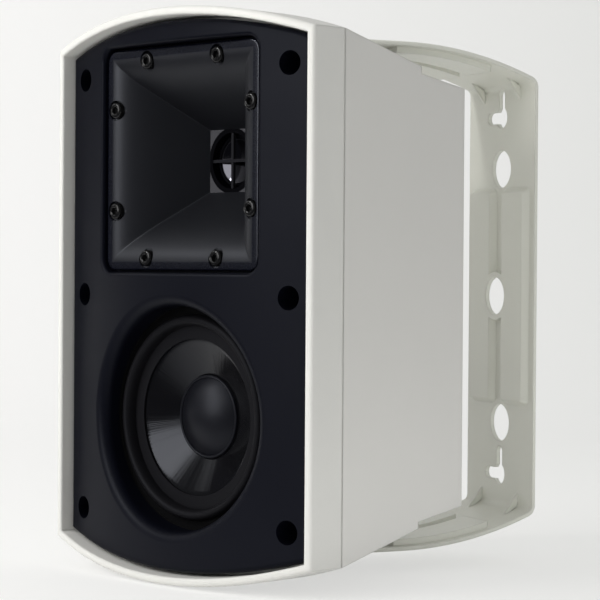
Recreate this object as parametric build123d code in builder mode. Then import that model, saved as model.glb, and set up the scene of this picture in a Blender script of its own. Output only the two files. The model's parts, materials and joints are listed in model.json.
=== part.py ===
from build123d import *
from math import asin, cos, radians, sin, sqrt, tan
import os

os.makedirs("parts", exist_ok=True)

# Two-way outdoor speaker with a horn tweeter, hung in a C-shaped swivel bracket.
# Millimetres, +X to the listener's right, +Y towards the wall, +Z up.
# Depths are counted from the plane of the cabinet screws' wells in the baffle.

# Cabinet outline
CABINET_WIDTH = 155.5
ARCH_RISE = 11.9
FACE_BULGE = 10.54
CROWN_SLOPE = 0.266
BACK_FLAT_WIDTH = 72.0
BACK_EDGE_ROUND = 4.0
BACK_FACET_ROUND = 20.0

# Depth of each layer from front to back
RIM_FRONT = -12.6
RIM_TO_BAFFLE = 6.0
BAFFLE_BACK = 6.5
SEAM_DEPTH = 15.2
SIDE_BACK = 88.6
CABINET_BACK = 97.0

# Bezel
BEZEL_WALL = 3.5
LEDGE_WIDTH = 4.3
LEDGE_THICKNESS = 3.0
RIM_OUTER_ROUND = 1.7
RIM_INNER_ROUND = 0.9
SEAL_THICKNESS = 0.5
SEAL_SETBACK = 0.6

# Baffle and its cabinet screws
GRILLE_SLOT = 1.2
BAFFLE_EDGE_ROUND = 2.0
WELL_SIDE_INSET = 15.55
WELL_TOP_INSET = 25.5
WELL_RADIUS = 4.85
WELL_TUBE_WALL = 2.0
WELL_LENGTH = 12.0
WELL_FLOOR = 2.0
CABINET_SCREW_RADIUS = 1.9
CABINET_SCREW_HEAD = 4.0
CABINET_SCREW_HEAD_HEIGHT = 2.8
CABINET_SCREW_BITE = 16.0
BOSS_WALL = 4.1
BOSS_RIB = 2.6

# Horn
HORN_TOP_MARGIN = 14.6
HORN_FLANGE = 92.4
HORN_FLANGE_FRONT = -1.0
HORN_FLANGE_THICKNESS = 3.2
HORN_FLANGE_ROUND = 5.0
HORN_EDGE_ROUND = 0.8
HORN_GAP = 1.0
HORN_GASKET = 0.8
HORN_RIM = 5.2
HORN_ROLL = 2.6
HORN_ROLL_DEPTH = 6.0
HORN_THROAT = 26.4
HORN_DEPTH = 29.0
HORN_WALL = 2.2
RECESS_LIP_ROUND = 1.5
HORN_SCREW_EDGE = 5.1
HORN_SCREW_ALONG = 21.3
HORN_SCREW_RADIUS = 1.75
HORN_SCREW_HEAD = 3.4
HORN_SCREW_HEAD_HEIGHT = 2.3
HORN_SCREW_SINK = 2.1
HORN_SCREW_LENGTH = 8.0
HORN_BOSS_RADIUS = 4.0
HEX_SOCKET = 2.9

# Horn driver
THROAT_PLATE = 8.1
THROAT_BORE = 11.75
THROAT_BAR = 1.3
DOME_RADIUS = 11.6
DOME_HEIGHT = 4.8
DOME_SKIN = 0.6
DOME_RIM = 17.0
DRIVER_PLATE_RADIUS = 28.0
DRIVER_PLATE = 4.0
DRIVER_MAGNET_RADIUS = 19.5
DRIVER_MAGNET_HOLE = 14.5
DRIVER_MAGNET = 10.0
DRIVER_COIL_WALL = 0.5
DRIVER_COIL_LENGTH = 4.5
DRIVER_AIR_GAP = 0.5
DRIVER_SCREW_RING = 23.4
DRIVER_SCREW_BITE = 7.0
DRIVER_BOSS_RADIUS = 3.6

# Woofer
WOOFER_BOTTOM_MARGIN = 20.7
DRIVER_SPACING = 14.3
WOOFER_OPENING = 46.5
WOOFER_FLARE = 4.5
WOOFER_GASKET = 1.0
WOOFER_FRAME_RIM = 5.5
WOOFER_FRAME_ROUND = 20.0
WOOFER_FRAME_SHEET = 1.5
WOOFER_SCREW_INSET = 13.5
SURROUND_SETBACK = 3.3
SURROUND_RIM = 3.2
SURROUND_ROLL = 2.9
SURROUND_SKIN = 0.7
CONE_SETBACK = 3.4
CONE_FLAT = 4.0
CONE_DEPTH = 9.2
CONE_SLOPE = 0.456
CONE_SKIN = 0.8
DUST_CAP = 16.2
DUST_CAP_HEIGHT = 6.8
DUST_CAP_FOOT = 1.2
FORMER_RADIUS = 12.9
FORMER_WALL = 0.35
FORMER_END = 46.0
COIL_WALL = 0.6
COIL_LENGTH = 10.0
MAGNET_AIR_GAP = 0.5
SPIDER_CLEAR = 4.0
SPIDER_DEPTH = 27.0
SPIDER_SKIN = 0.7
SPIDER_WAVE = 1.4
SPIDER_SHELF = 2.5
BASKET_DEPTH = 30.0
BASKET_STEP = 3.0
BASKET_NARROWING = 8.0
BASKET_WINDOW = 44.0
BASKET_WINDOW_EDGE = 2.0
TOP_PLATE = 5.0
MAGNET_OVERHANG = 5.0
MAGNET_HOLE = 19.0
MAGNET_THICKNESS = 13.0
YOKE_PLATE = 5.0

# Crossover
BOARD_WIDTH = 66.0
BOARD_HEIGHT = 48.0
BOARD_THICKNESS = 1.6
BOARD_Z = 12.0
STANDOFF = 6.0
STANDOFF_RADIUS = 3.4
BOARD_HOLE_INSET = 5.0
INDUCTOR_RADIUS = 13.0
INDUCTOR_HOLE = 6.0
INDUCTOR_HEIGHT = 14.0
CAPACITOR_RADIUS = 6.0
CAPACITOR_LENGTH = 24.0
RESISTOR_LENGTH = 22.0
RESISTOR_SIDE = 7.0

# Rear terminals
CUP_Z = -46.0
CUP_WIDTH = 46.0
CUP_HEIGHT = 28.0
CUP_FLANGE = 6.5
CUP_FLANGE_THICKNESS = 2.5
CUP_DEPTH = 16.0
CUP_WALL = 2.0
CUP_GASKET = 0.8
SMALL_SCREW = 1.3
SMALL_SCREW_HEAD = 2.6
SMALL_SCREW_HEAD_HEIGHT = 1.8
POST_SPACING = 19.0
POST_RADIUS = 2.0
POST_BASE = 2.6
POST_CAP_RADIUS = 5.4
POST_CAP_LENGTH = 10.0

# Swivel
PIVOT_DEPTH = 55.0
SWIVEL_ANGLE = 20.6
SWIVEL_STOP = 60.0
SWIVEL_CLEAR = 5.3
RECESS_SINK = 14.2
RECESS_SLOPE = 0.168
PIVOT_SEAT_RADIUS = 14.0
PIVOT_WASHER = 1.0
PIVOT_SEAT_RISE = 2.3
PIVOT_COLLAR = 6.0
INSERT_RADIUS = 5.0
INSERT_LENGTH = 7.0
KNOB_STUD = 3.0
KNOB_RADIUS = 13.0
KNOB_HEIGHT = 6.0
KNOB_GRIPS = 10
KNOB_GRIP_RADIUS = 2.2
KNOB_GAP = 0.2

# Wall bracket
BRACKET_REACH = 112.1
BRACKET_WIDTH = 58.4
BRACKET_SINK = 8.9
BRACKET_SHEET = 2.0
BRACKET_EDGE_ROUND = 1.2
ARM_FLAT = 46.0
ARM_BEND = 168.0
BRACKET_CORNER = 5.0
PLATE_HOLE = 8.4
HOLE_TO_KEY = 23.1
PAD_HEIGHT = 3.0
PAD_TO_HOLE = 8.6
PAD_EDGE = 4.0
PAD_GROOVE = 6.9
PAD_DRAFT = 35.0
PAD_ROUND = 3.0
PAD_HOLLOW_INSET = 0.5
HUB_RADIUS = 11.0
KEY_INSET = 28.6
KEY_ENTRY = 4.8
KEY_SLOT = 5.2
KEY_RISE = 9.8
KEY_SIDE = 9.9
ARM_STRIP_FRONT = 44.0
ARM_STRIP_STOP = 22.0
ARM_STRIP = 2.7
GUSSET_OUT = 16.0
GUSSET_LEG = 8.0
GUSSET_SHEET = 1.6

# Fits
RUNNING = 0.05
SLIP = 0.3
SCREW_SLACK = 0.4

# Sizes worked out from the ones above
CABINET_HEIGHT = (
    HORN_TOP_MARGIN + HORN_FLANGE + DRIVER_SPACING + 2 * WOOFER_OPENING + WOOFER_BOTTOM_MARGIN
)
HALF_WIDTH = CABINET_WIDTH / 2
HALF_HEIGHT = CABINET_HEIGHT / 2
HORN_Z = HALF_HEIGHT - HORN_TOP_MARGIN - HORN_FLANGE / 2
WOOFER_Z = WOOFER_BOTTOM_MARGIN + WOOFER_OPENING - HALF_HEIGHT
ARCH_RADIUS = (HALF_WIDTH**2 + ARCH_RISE**2) / (2 * ARCH_RISE)
FACE_RADIUS = (HALF_WIDTH**2 + FACE_BULGE**2) / (2 * FACE_BULGE)
BAFFLE_FRONT = RIM_FRONT + RIM_TO_BAFFLE
BEZEL_BACK = SEAM_DEPTH - SEAL_THICKNESS / 2
SHELL_FRONT = SEAM_DEPTH + SEAL_THICKNESS / 2
BAFFLE_INSET = BEZEL_WALL + GRILLE_SLOT
WELL_X = HALF_WIDTH - WELL_SIDE_INSET
WELL_Z = HALF_HEIGHT - WELL_TOP_INSET
WELL_TUBE = WELL_RADIUS + WELL_TUBE_WALL
WELL_BOTTOM = WELL_LENGTH
WELL_END = WELL_BOTTOM + WELL_FLOOR
WELLS = [(x, z) for x in (-WELL_X, WELL_X) for z in (-WELL_Z, 0, WELL_Z)]
HORN_MOUTH = HORN_FLANGE - 2 * HORN_RIM
HORN_SCREW_OUT = HORN_FLANGE / 2 - HORN_SCREW_EDGE
HORN_FLANGE_BACK = HORN_FLANGE_FRONT + HORN_FLANGE_THICKNESS
HORN_SEAT = HORN_FLANGE_BACK + HORN_GASKET
HORN_THROAT_DEPTH = HORN_FLANGE_FRONT + HORN_DEPTH
HORN_SCREWS = [
    (side * a, HORN_Z + rise * b)
    for a, b in ((HORN_SCREW_OUT, HORN_SCREW_ALONG), (HORN_SCREW_ALONG, HORN_SCREW_OUT))
    for side in (-1, 1)
    for rise in (-1, 1)
]
HORN_SCREW_SEAT = HORN_FLANGE_FRONT + HORN_SCREW_SINK
DIAPHRAGM_BACK = HORN_THROAT_DEPTH + THROAT_PLATE
DRIVER_PLATE_BACK = DIAPHRAGM_BACK + DRIVER_PLATE
DRIVER_MAGNET_BACK = DRIVER_PLATE_BACK + DRIVER_MAGNET
DRIVER_COIL_RADIUS = DOME_RADIUS + DRIVER_COIL_WALL
DRIVER_BACK = DRIVER_MAGNET_BACK + DRIVER_PLATE
DRIVER_SCREWS = [
    (x * DRIVER_SCREW_RING, HORN_Z + z * DRIVER_SCREW_RING) for x, z in ((-1, 0), (1, 0), (0, -1), (0, 1))
]
WOOFER_FRAME = 2 * (WOOFER_OPENING + WOOFER_FRAME_RIM)
WOOFER_SCREW_SQUARE = WOOFER_FRAME - 2 * WOOFER_SCREW_INSET
WOOFER_SCREWS = [
    (x * WOOFER_SCREW_SQUARE / 2, WOOFER_Z + z * WOOFER_SCREW_SQUARE / 2) for x in (-1, 1) for z in (-1, 1)
]
WOOFER_FRAME_FRONT = BAFFLE_BACK + WOOFER_GASKET
WOOFER_FRAME_BACK = WOOFER_FRAME_FRONT + WOOFER_FRAME_SHEET
SURROUND_FRONT = WOOFER_FRAME_FRONT - SURROUND_SKIN
SURROUND_OUTER = WOOFER_OPENING - SURROUND_SETBACK
SURROUND_CENTRE = SURROUND_OUTER - SURROUND_RIM
CONE_RIM = SURROUND_CENTRE - CONE_SETBACK
CONE_SHOULDER = CONE_RIM - CONE_FLAT
BASKET_MOUTH = SURROUND_CENTRE + BASKET_STEP
BASKET_SEAT = BASKET_MOUTH - BASKET_NARROWING
SPIDER_OUTER = BASKET_SEAT - SPIDER_CLEAR
MAGNET_RADIUS = BASKET_SEAT + MAGNET_OVERHANG
COIL_RADIUS = FORMER_RADIUS + COIL_WALL
BASKET_END = WOOFER_FRAME_FRONT + BASKET_DEPTH
TOP_PLATE_BACK = BASKET_END + TOP_PLATE
MAGNET_BACK = TOP_PLATE_BACK + MAGNET_THICKNESS
YOKE_BACK = MAGNET_BACK + YOKE_PLATE
INNER_BACK = CABINET_BACK - BEZEL_WALL
BOARD_BACK = INNER_BACK - STANDOFF
BOARD_FRONT = BOARD_BACK - BOARD_THICKNESS
CUP_FLANGE_FRONT = CABINET_BACK + CUP_GASKET
CUP_FLANGE_BACK = CUP_FLANGE_FRONT + CUP_FLANGE_THICKNESS
CUP_FLOOR = CUP_FLANGE_FRONT - CUP_DEPTH + CUP_WALL
CUP_NOSE = CUP_FLANGE_FRONT - CUP_DEPTH
RECESS_FLOOR = HALF_HEIGHT - RECESS_SINK
BRACKET_HALF_HEIGHT = HALF_HEIGHT - BRACKET_SINK
ARM_UNDERSIDE = BRACKET_HALF_HEIGHT - BRACKET_SHEET
PIVOT_SEAT = ARM_UNDERSIDE - PIVOT_WASHER
SWIVEL_RADIUS = BRACKET_WIDTH / 2 + SWIVEL_CLEAR
SWIVEL_FLOOR = PIVOT_SEAT - PIVOT_SEAT_RISE
COLLAR_TOP = BRACKET_HALF_HEIGHT - SLIP
PLATE_FACE = BRACKET_REACH - BRACKET_SHEET
KEY_Z = BRACKET_HALF_HEIGHT - KEY_INSET
PLATE_HOLE_Z = KEY_Z - HOLE_TO_KEY
PAD_HALF_LENGTH = PLATE_HOLE_Z - PAD_TO_HOLE
ARM_STRIP_BACK = BRACKET_REACH - ARM_STRIP_STOP
BRACKET_REAR = (
    PIVOT_DEPTH
    + (BRACKET_REACH - BRACKET_EDGE_ROUND) * cos(radians(SWIVEL_ANGLE))
    + (BRACKET_WIDTH / 2 - BRACKET_EDGE_ROUND) * sin(radians(SWIVEL_ANGLE))
    + BRACKET_EDGE_ROUND
)
MIDDLE_DEPTH = (RIM_FRONT + BRACKET_REAR) / 2
CABINET_PLACE = Location((0, -MIDDLE_DEPTH, 0))
BRACKET_PLACE = Location((0, PIVOT_DEPTH - MIDDLE_DEPTH, 0), (0, 0, -SWIVEL_ANGLE))


def at_depth(depth):
    """Sketch plane across the cabinet at a depth; positive extrusions come forward."""
    return Plane.XZ.offset(-depth)


def arched_face(half, side, crown):
    """Face with straight sides and bowed top and bottom."""
    with BuildLine() as outline:
        ThreePointArc((-half, side), (0, crown), (half, side))
        Line((half, side), (half, -side))
        ThreePointArc((half, -side), (0, -crown), (-half, -side))
        Line((-half, -side), (-half, side))
    make_face(outline.edges())


def bowed_face(inset, crown=None):
    """Cabinet outline inset all round, or moved to another crown height."""
    radius = ARCH_RADIUS - inset
    half = HALF_WIDTH - inset
    crown = HALF_HEIGHT - inset if crown is None else crown
    arched_face(half, crown - radius + sqrt(radius**2 - half**2), crown)


def horn_half(depth):
    """Half the horn's inner side at a depth: a straight flare with a rolled mouth."""
    share = (depth - HORN_FLANGE_FRONT) / HORN_DEPTH
    roll = max(0.0, 1 - (depth - HORN_FLANGE_FRONT) / HORN_ROLL_DEPTH)
    straight = HORN_MOUTH / 2 - HORN_ROLL
    return straight + (HORN_THROAT / 2 - straight) * share + HORN_ROLL * roll**3


def bowed_block(front, back, inset):
    """Block of the cabinet's outline with the bulged front face."""
    with BuildSketch() as plan:
        with Locations((0, front + FACE_RADIUS)):
            Circle(FACE_RADIUS)
        with Locations((0, (front + back) / 2)):
            Rectangle(CABINET_WIDTH, back - front, mode=Mode.INTERSECT)
    extrude(plan.sketch, amount=HALF_HEIGHT, both=True)
    with BuildSketch(at_depth(back)) as outline:
        bowed_face(inset)
    extrude(outline.sketch, amount=back - front, mode=Mode.INTERSECT)


def turn(height, points, x=0.0, mode=Mode.ADD):
    """Turn a closed (radius, depth) profile about a front-to-back axis."""
    with BuildSketch(Plane((x, 0, height))) as profile:
        with BuildLine():
            Polyline(*points, close=True)
        make_face()
    revolve(profile.sketch, axis=Axis((x, 0, height), (0, 1, 0)), mode=mode)


def ring(height, inner, outer, start, end, x=0.0):
    """Plain ring about a front-to-back axis."""
    turn(height, [(inner, start), (outer, start), (outer, end), (inner, end)], x)


def spin(profile, height):
    """Turn a profile drawn in (radius, depth) about a front-to-back axis."""
    revolve(profile.sketch.moved(Location((0, 0, height))), axis=Axis((0, 0, height), (0, 1, 0)))


def dome(radius, height, rim):
    """Three points on a shallow cap's arc, from its apex out to its rim."""
    ball = (radius**2 + height**2) / (2 * height)
    halfway = rim - height + ball - sqrt(ball**2 - radius**2 / 4)
    return (0, rim - height), (radius / 2, halfway), (radius, rim)


def block(width, height, start, end, x=0.0, z=0.0, mode=Mode.ADD):
    """Square-edged block centred on (x, z) from one depth to a deeper one."""
    with BuildSketch(at_depth(start)) as outline:
        with Locations((x, z)):
            Rectangle(width, height)
    extrude(outline.sketch, amount=start - end, mode=mode)


def screws(places, shank, head, head_height, seat, tip):
    """Socket screws seated at one depth; their tips lie before or behind the seat."""
    forward = 1 if tip < seat else -1
    socket = HEX_SOCKET / 2 * head / HORN_SCREW_HEAD
    with BuildSketch(at_depth(seat)) as heads:
        with Locations(*places):
            Circle(head)
            RegularPolygon(socket, 6, major_radius=False, mode=Mode.SUBTRACT)
    extrude(heads.sketch, amount=-forward * head_height)
    with BuildSketch(at_depth(seat)) as shanks:
        with Locations(*places):
            Circle(shank)
    extrude(shanks.sketch, amount=seat - tip)
    extrude(shanks.sketch, amount=-forward * head_height / 3)


def disc(radius, low, high, mode=Mode.ADD):
    """Round bar standing on the swivel axis between two heights."""
    with BuildSketch(Plane.XY.offset(low)) as outline:
        with Locations((0, PIVOT_DEPTH)):
            Circle(radius)
    extrude(outline.sketch, amount=high - low, mode=mode)


def rounds(places, radius, start, end, mode=Mode.ADD):
    """Round bars at (x, z) places from one depth to a deeper one."""
    with BuildSketch(at_depth(start)) as bars:
        with Locations(*places):
            Circle(radius)
    extrude(bars.sketch, amount=start - end, mode=mode)


def write(piece, label, place=CABINET_PLACE):
    """Label a finished piece, set it in its place and write it."""
    solid = piece.part.moved(place)
    solid.label = label
    export_step(solid, f"parts/{label}.step")


HORN_BODY = 2 * (horn_half(HORN_FLANGE_BACK) + HORN_WALL)
HORN_PASSAGE = HORN_BODY + 2 * SLIP

# Front bezel: a bowed frame with a ledge that the baffle lies on
LEDGE_BACK = BAFFLE_BACK + LEDGE_THICKNESS
with BuildPart() as front_bezel:
    bowed_block(RIM_FRONT, BEZEL_BACK, 0)
    with BuildSketch(at_depth(BAFFLE_BACK)) as opening:
        bowed_face(BEZEL_WALL)
    extrude(opening.sketch, amount=BAFFLE_BACK - RIM_FRONT, mode=Mode.SUBTRACT)
    with BuildSketch(at_depth(BEZEL_BACK)) as rear_opening:
        bowed_face(BEZEL_WALL)
    extrude(rear_opening.sketch, amount=BEZEL_BACK - LEDGE_BACK, mode=Mode.SUBTRACT)
    with BuildSketch(at_depth(BEZEL_BACK)) as ledge_opening:
        bowed_face(BEZEL_WALL + LEDGE_WIDTH)
    extrude(ledge_opening.sketch, amount=BEZEL_BACK - RIM_FRONT, mode=Mode.SUBTRACT)
    rim = front_bezel.faces().filter_by(GeomType.CYLINDER).sort_by(Axis.Y)[0]
    fillet(rim.outer_wire().edges(), RIM_OUTER_ROUND)
    rim = front_bezel.faces().filter_by(GeomType.CYLINDER).sort_by(Axis.Y)[0]
    fillet(rim.inner_wires()[0].edges(), RIM_INNER_ROUND)
write(front_bezel, "front_bezel")

# Flat seal in the seam between bezel and shell
with BuildPart() as cabinet_seal:
    with BuildSketch(at_depth(SHELL_FRONT)) as seal_outline:
        bowed_face(SEAL_SETBACK)
    extrude(seal_outline.sketch, amount=SEAL_THICKNESS)
    with BuildSketch(at_depth(SHELL_FRONT)) as seal_hole:
        bowed_face(BEZEL_WALL)
    extrude(seal_hole.sketch, amount=SEAL_THICKNESS, mode=Mode.SUBTRACT)
write(cabinet_seal, "cabinet_seal")

# Baffle: bulged plate with screw wells, horn recess and woofer flare
with BuildPart() as front_baffle:
    bowed_block(BAFFLE_FRONT, BAFFLE_BACK, BAFFLE_INSET)
    face = front_baffle.faces().filter_by(GeomType.CYLINDER).sort_by(SortBy.AREA)[-1]
    fillet(face.outer_wire().edges(), BAFFLE_EDGE_ROUND)
    rounds(WELLS, WELL_TUBE, BAFFLE_BACK, WELL_END)
    rounds(HORN_SCREWS, HORN_BOSS_RADIUS, BAFFLE_BACK, HORN_SEAT + HORN_SCREW_LENGTH)
    with BuildSketch(at_depth(HORN_SEAT)) as recess:
        with Locations((0, HORN_Z)):
            RectangleRounded(
                HORN_FLANGE + 2 * HORN_GAP, HORN_FLANGE + 2 * HORN_GAP, HORN_FLANGE_ROUND + HORN_GAP
            )
    extrude(recess.sketch, amount=HORN_SEAT - RIM_FRONT, mode=Mode.SUBTRACT)
    rounds([(0, WOOFER_Z)], WOOFER_OPENING, RIM_FRONT, BAFFLE_BACK, Mode.SUBTRACT)
    face = front_baffle.faces().filter_by(GeomType.CYLINDER).sort_by(Axis.Y)[0]
    loops = face.inner_wires().sort_by(SortBy.LENGTH)
    fillet(loops[-1].edges(), RECESS_LIP_ROUND)
    face = front_baffle.faces().filter_by(GeomType.CYLINDER).sort_by(Axis.Y)[0]
    loops = face.inner_wires().sort_by(SortBy.LENGTH)
    fillet(loops[0].edges(), WOOFER_FLARE)
    with BuildSketch(at_depth(BAFFLE_BACK)) as passage:
        with Locations((0, HORN_Z)):
            Rectangle(HORN_PASSAGE, HORN_PASSAGE)
    extrude(passage.sketch, amount=BAFFLE_BACK - RIM_FRONT, mode=Mode.SUBTRACT)
    rounds(WELLS, WELL_RADIUS, RIM_FRONT, WELL_BOTTOM, Mode.SUBTRACT)
    rounds(WELLS, CABINET_SCREW_RADIUS + SCREW_SLACK, WELL_BOTTOM, WELL_END, Mode.SUBTRACT)
    rounds(HORN_SCREWS, HORN_SCREW_RADIUS + RUNNING, HORN_SEAT, HORN_SEAT + HORN_SCREW_LENGTH, Mode.SUBTRACT)
    bite = BAFFLE_BACK - HORN_SCREW_LENGTH
    rounds(WOOFER_SCREWS, HORN_SCREW_RADIUS + RUNNING, bite, BAFFLE_BACK, Mode.SUBTRACT)
write(front_baffle, "front_baffle")

# Rear shell and the spaces cut out of it
STOP = radians(SWIVEL_STOP)
STOP_X = SWIVEL_RADIUS * cos(STOP)
STOP_DEPTH = PIVOT_DEPTH - SWIVEL_RADIUS * sin(STOP)
RECESS_HALF = HALF_WIDTH + BEZEL_WALL
RECESS_SIDE = STOP_DEPTH + (RECESS_HALF - STOP_X) / tan(STOP)
RECESS_FRONT = PIVOT_DEPTH - SWIVEL_RADIUS - BEZEL_WALL
RECESS_BACK = CABINET_BACK + BEZEL_WALL
CAVITY_CROWN = SWIVEL_FLOOR - BEZEL_WALL
CAVITY_RISE = BEZEL_WALL


def recess_crown(depth):
    """Height of the swivel recess's floor over the middle of the cabinet."""
    return RECESS_FLOOR - RECESS_SLOPE * (depth - PIVOT_DEPTH)


def shell_plan(inset, front):
    """Outline of the shell from above: straight sides and a three-sided back."""
    half = HALF_WIDTH - inset
    flat = BACK_FLAT_WIDTH / 2
    with BuildLine() as outline:
        Polyline(
            (-half, front),
            (-half, SIDE_BACK - inset),
            (-flat, CABINET_BACK - inset),
            (flat, CABINET_BACK - inset),
            (half, SIDE_BACK - inset),
            (half, front),
            close=True,
        )
    make_face(outline.edges())


with BuildPart() as swivel_space:
    with BuildSketch() as sweep_plan:
        with BuildLine():
            Polyline(
                (STOP_X, STOP_DEPTH),
                (RECESS_HALF, RECESS_SIDE),
                (RECESS_HALF, RECESS_BACK),
                (-RECESS_HALF, RECESS_BACK),
                (-RECESS_HALF, RECESS_SIDE),
                (-STOP_X, STOP_DEPTH),
                close=True,
            )
        make_face()
        with Locations((0, PIVOT_DEPTH)):
            Circle(SWIVEL_RADIUS)
    extrude(sweep_plan.sketch, amount=HALF_HEIGHT)
    with BuildSketch(at_depth(RECESS_FRONT)) as floor_front:
        bowed_face(-2 * BEZEL_WALL, recess_crown(RECESS_FRONT))
    with BuildSketch(at_depth(RECESS_BACK + BEZEL_WALL)) as floor_back:
        bowed_face(-2 * BEZEL_WALL, recess_crown(RECESS_BACK + BEZEL_WALL))
    loft([floor_front.sketch, floor_back.sketch], ruled=True, mode=Mode.SUBTRACT)
    with BuildSketch(Plane.XY.offset(SWIVEL_FLOOR)) as turntable:
        with Locations((0, PIVOT_DEPTH)):
            Circle(SWIVEL_RADIUS)
    extrude(turntable.sketch, amount=HALF_HEIGHT - SWIVEL_FLOOR)

with BuildPart() as shell_cavity:
    with BuildSketch() as cavity_plan:
        shell_plan(BEZEL_WALL, SHELL_FRONT)
    extrude(cavity_plan.sketch, amount=HALF_HEIGHT, both=True)
    inner_half = HALF_WIDTH + BEZEL_WALL
    with BuildSketch(at_depth(SHELL_FRONT)) as cavity_front:
        arched_face(inner_half, CAVITY_CROWN - CAVITY_RISE, CAVITY_CROWN)
    back_crown = recess_crown(CABINET_BACK) - BEZEL_WALL
    with BuildSketch(at_depth(CABINET_BACK)) as cavity_back:
        arched_face(inner_half, back_crown - ARCH_RISE, back_crown)
    loft([cavity_front.sketch, cavity_back.sketch], ruled=True, mode=Mode.INTERSECT)

CUP_SCREW_X = CUP_WIDTH + CUP_FLANGE
CUP_SCREW_Z = CUP_HEIGHT + CUP_FLANGE
BOARD_HOLES = [
    (x, BOARD_Z + z)
    for x in (BOARD_HOLE_INSET - BOARD_WIDTH / 2, BOARD_WIDTH / 2 - BOARD_HOLE_INSET)
    for z in (BOARD_HOLE_INSET - BOARD_HEIGHT / 2, BOARD_HEIGHT / 2 - BOARD_HOLE_INSET)
]
CUP_SCREWS = [
    (x * CUP_SCREW_X / 2, CUP_Z + z * CUP_SCREW_Z / 2) for x in (-1, 1) for z in (-1, 1)
]
BOSS_RADIUS = CABINET_SCREW_RADIUS + BOSS_WALL
BOSS_END = WELL_END + CABINET_SCREW_BITE + BOSS_WALL

with BuildPart() as rear_shell:
    with BuildSketch() as shell_outline:
        shell_plan(0, SHELL_FRONT)
        corners = shell_outline.vertices().group_by(Axis.Y)
        fillet(corners[1], BACK_EDGE_ROUND)
        fillet(shell_outline.vertices().group_by(Axis.Y)[-1], BACK_FACET_ROUND)
    extrude(shell_outline.sketch, amount=HALF_HEIGHT, both=True)
    with BuildSketch(at_depth(SHELL_FRONT)) as crown_front:
        bowed_face(0)
    with BuildSketch(at_depth(RECESS_BACK)) as crown_back:
        bowed_face(0, HALF_HEIGHT - CROWN_SLOPE * (RECESS_BACK - SHELL_FRONT))
    loft([crown_front.sketch, crown_back.sketch], ruled=True, mode=Mode.INTERSECT)
    add(swivel_space.part, mode=Mode.SUBTRACT)
    add(swivel_space.part.mirror(Plane.XY), mode=Mode.SUBTRACT)
    with BuildSketch() as seats:
        with Locations((0, PIVOT_DEPTH)):
            Circle(PIVOT_SEAT_RADIUS)
    extrude(seats.sketch, amount=PIVOT_SEAT, both=True)
    add(shell_cavity.part, mode=Mode.SUBTRACT)
    with BuildSketch() as insert_holes:
        with Locations((0, PIVOT_DEPTH)):
            Circle(INSERT_RADIUS)
    for height in (PIVOT_SEAT - INSERT_LENGTH, -PIVOT_SEAT):
        hole = insert_holes.sketch.moved(Location((0, 0, height)))
        extrude(hole, amount=INSERT_LENGTH, mode=Mode.SUBTRACT)
    rounds(WELLS, BOSS_RADIUS, WELL_END, BOSS_END)
    with BuildSketch(at_depth(SHELL_FRONT)) as ribs:
        for x, z in WELLS:
            side = 1 if x > 0 else -1
            with Locations((side * (WELL_X + HALF_WIDTH - BEZEL_WALL / 2) / 2, z)):
                Rectangle(HALF_WIDTH - BEZEL_WALL / 2 - WELL_X, BOSS_RIB)
    extrude(ribs.sketch, amount=SHELL_FRONT - BOSS_END)
    rounds(WELLS, CABINET_SCREW_RADIUS + RUNNING, WELL_END, WELL_END + CABINET_SCREW_BITE, Mode.SUBTRACT)
    rounds(BOARD_HOLES, STANDOFF_RADIUS, BOARD_BACK, INNER_BACK)
    rounds(BOARD_HOLES, SMALL_SCREW + RUNNING, BOARD_BACK, INNER_BACK, Mode.SUBTRACT)
    with BuildSketch(at_depth(CABINET_BACK)) as cup_hole:
        with Locations((0, CUP_Z)):
            Rectangle(CUP_WIDTH + 2 * SLIP, CUP_HEIGHT + 2 * SLIP)
    extrude(cup_hole.sketch, amount=2 * BEZEL_WALL, mode=Mode.SUBTRACT)
    rounds(CUP_SCREWS, SMALL_SCREW + RUNNING, INNER_BACK, CABINET_BACK, Mode.SUBTRACT)
write(rear_shell, "rear_shell")

# Screws that hold the baffle and bezel to the shell
with BuildPart() as cabinet_screws:
    screws(
        WELLS,
        CABINET_SCREW_RADIUS,
        CABINET_SCREW_HEAD,
        CABINET_SCREW_HEAD_HEIGHT,
        WELL_BOTTOM,
        WELL_END + CABINET_SCREW_BITE - SLIP,
    )
write(cabinet_screws, "cabinet_screws")


def horn_layer(side, depth):
    """Square section across the horn at a depth."""
    with BuildSketch(at_depth(depth)) as layer:
        with Locations((0, HORN_Z)):
            Rectangle(side, side)
    return layer.sketch


# Horn: a flange frame and four mitred walls with the bosses that carry the driver
ROLL_BACK = HORN_FLANGE_FRONT + HORN_ROLL_DEPTH
ROLL_LAYERS = [HORN_FLANGE_FRONT + HORN_ROLL_DEPTH * share for share in (0, 0.2, 0.5, 1)]
HORN_COUNTERBORE = HORN_SCREW_HEAD + 2 * SCREW_SLACK
DRIVER_SCREW_END = HORN_THROAT_DEPTH - DRIVER_SCREW_BITE
with BuildPart() as horn_passage:
    loft([horn_layer(2 * horn_half(depth), depth) for depth in ROLL_LAYERS])
    flare_front = horn_layer(2 * horn_half(ROLL_BACK), ROLL_BACK)
    flare_back = horn_layer(HORN_THROAT, HORN_THROAT_DEPTH)
    loft([flare_front, flare_back], ruled=True)

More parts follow.
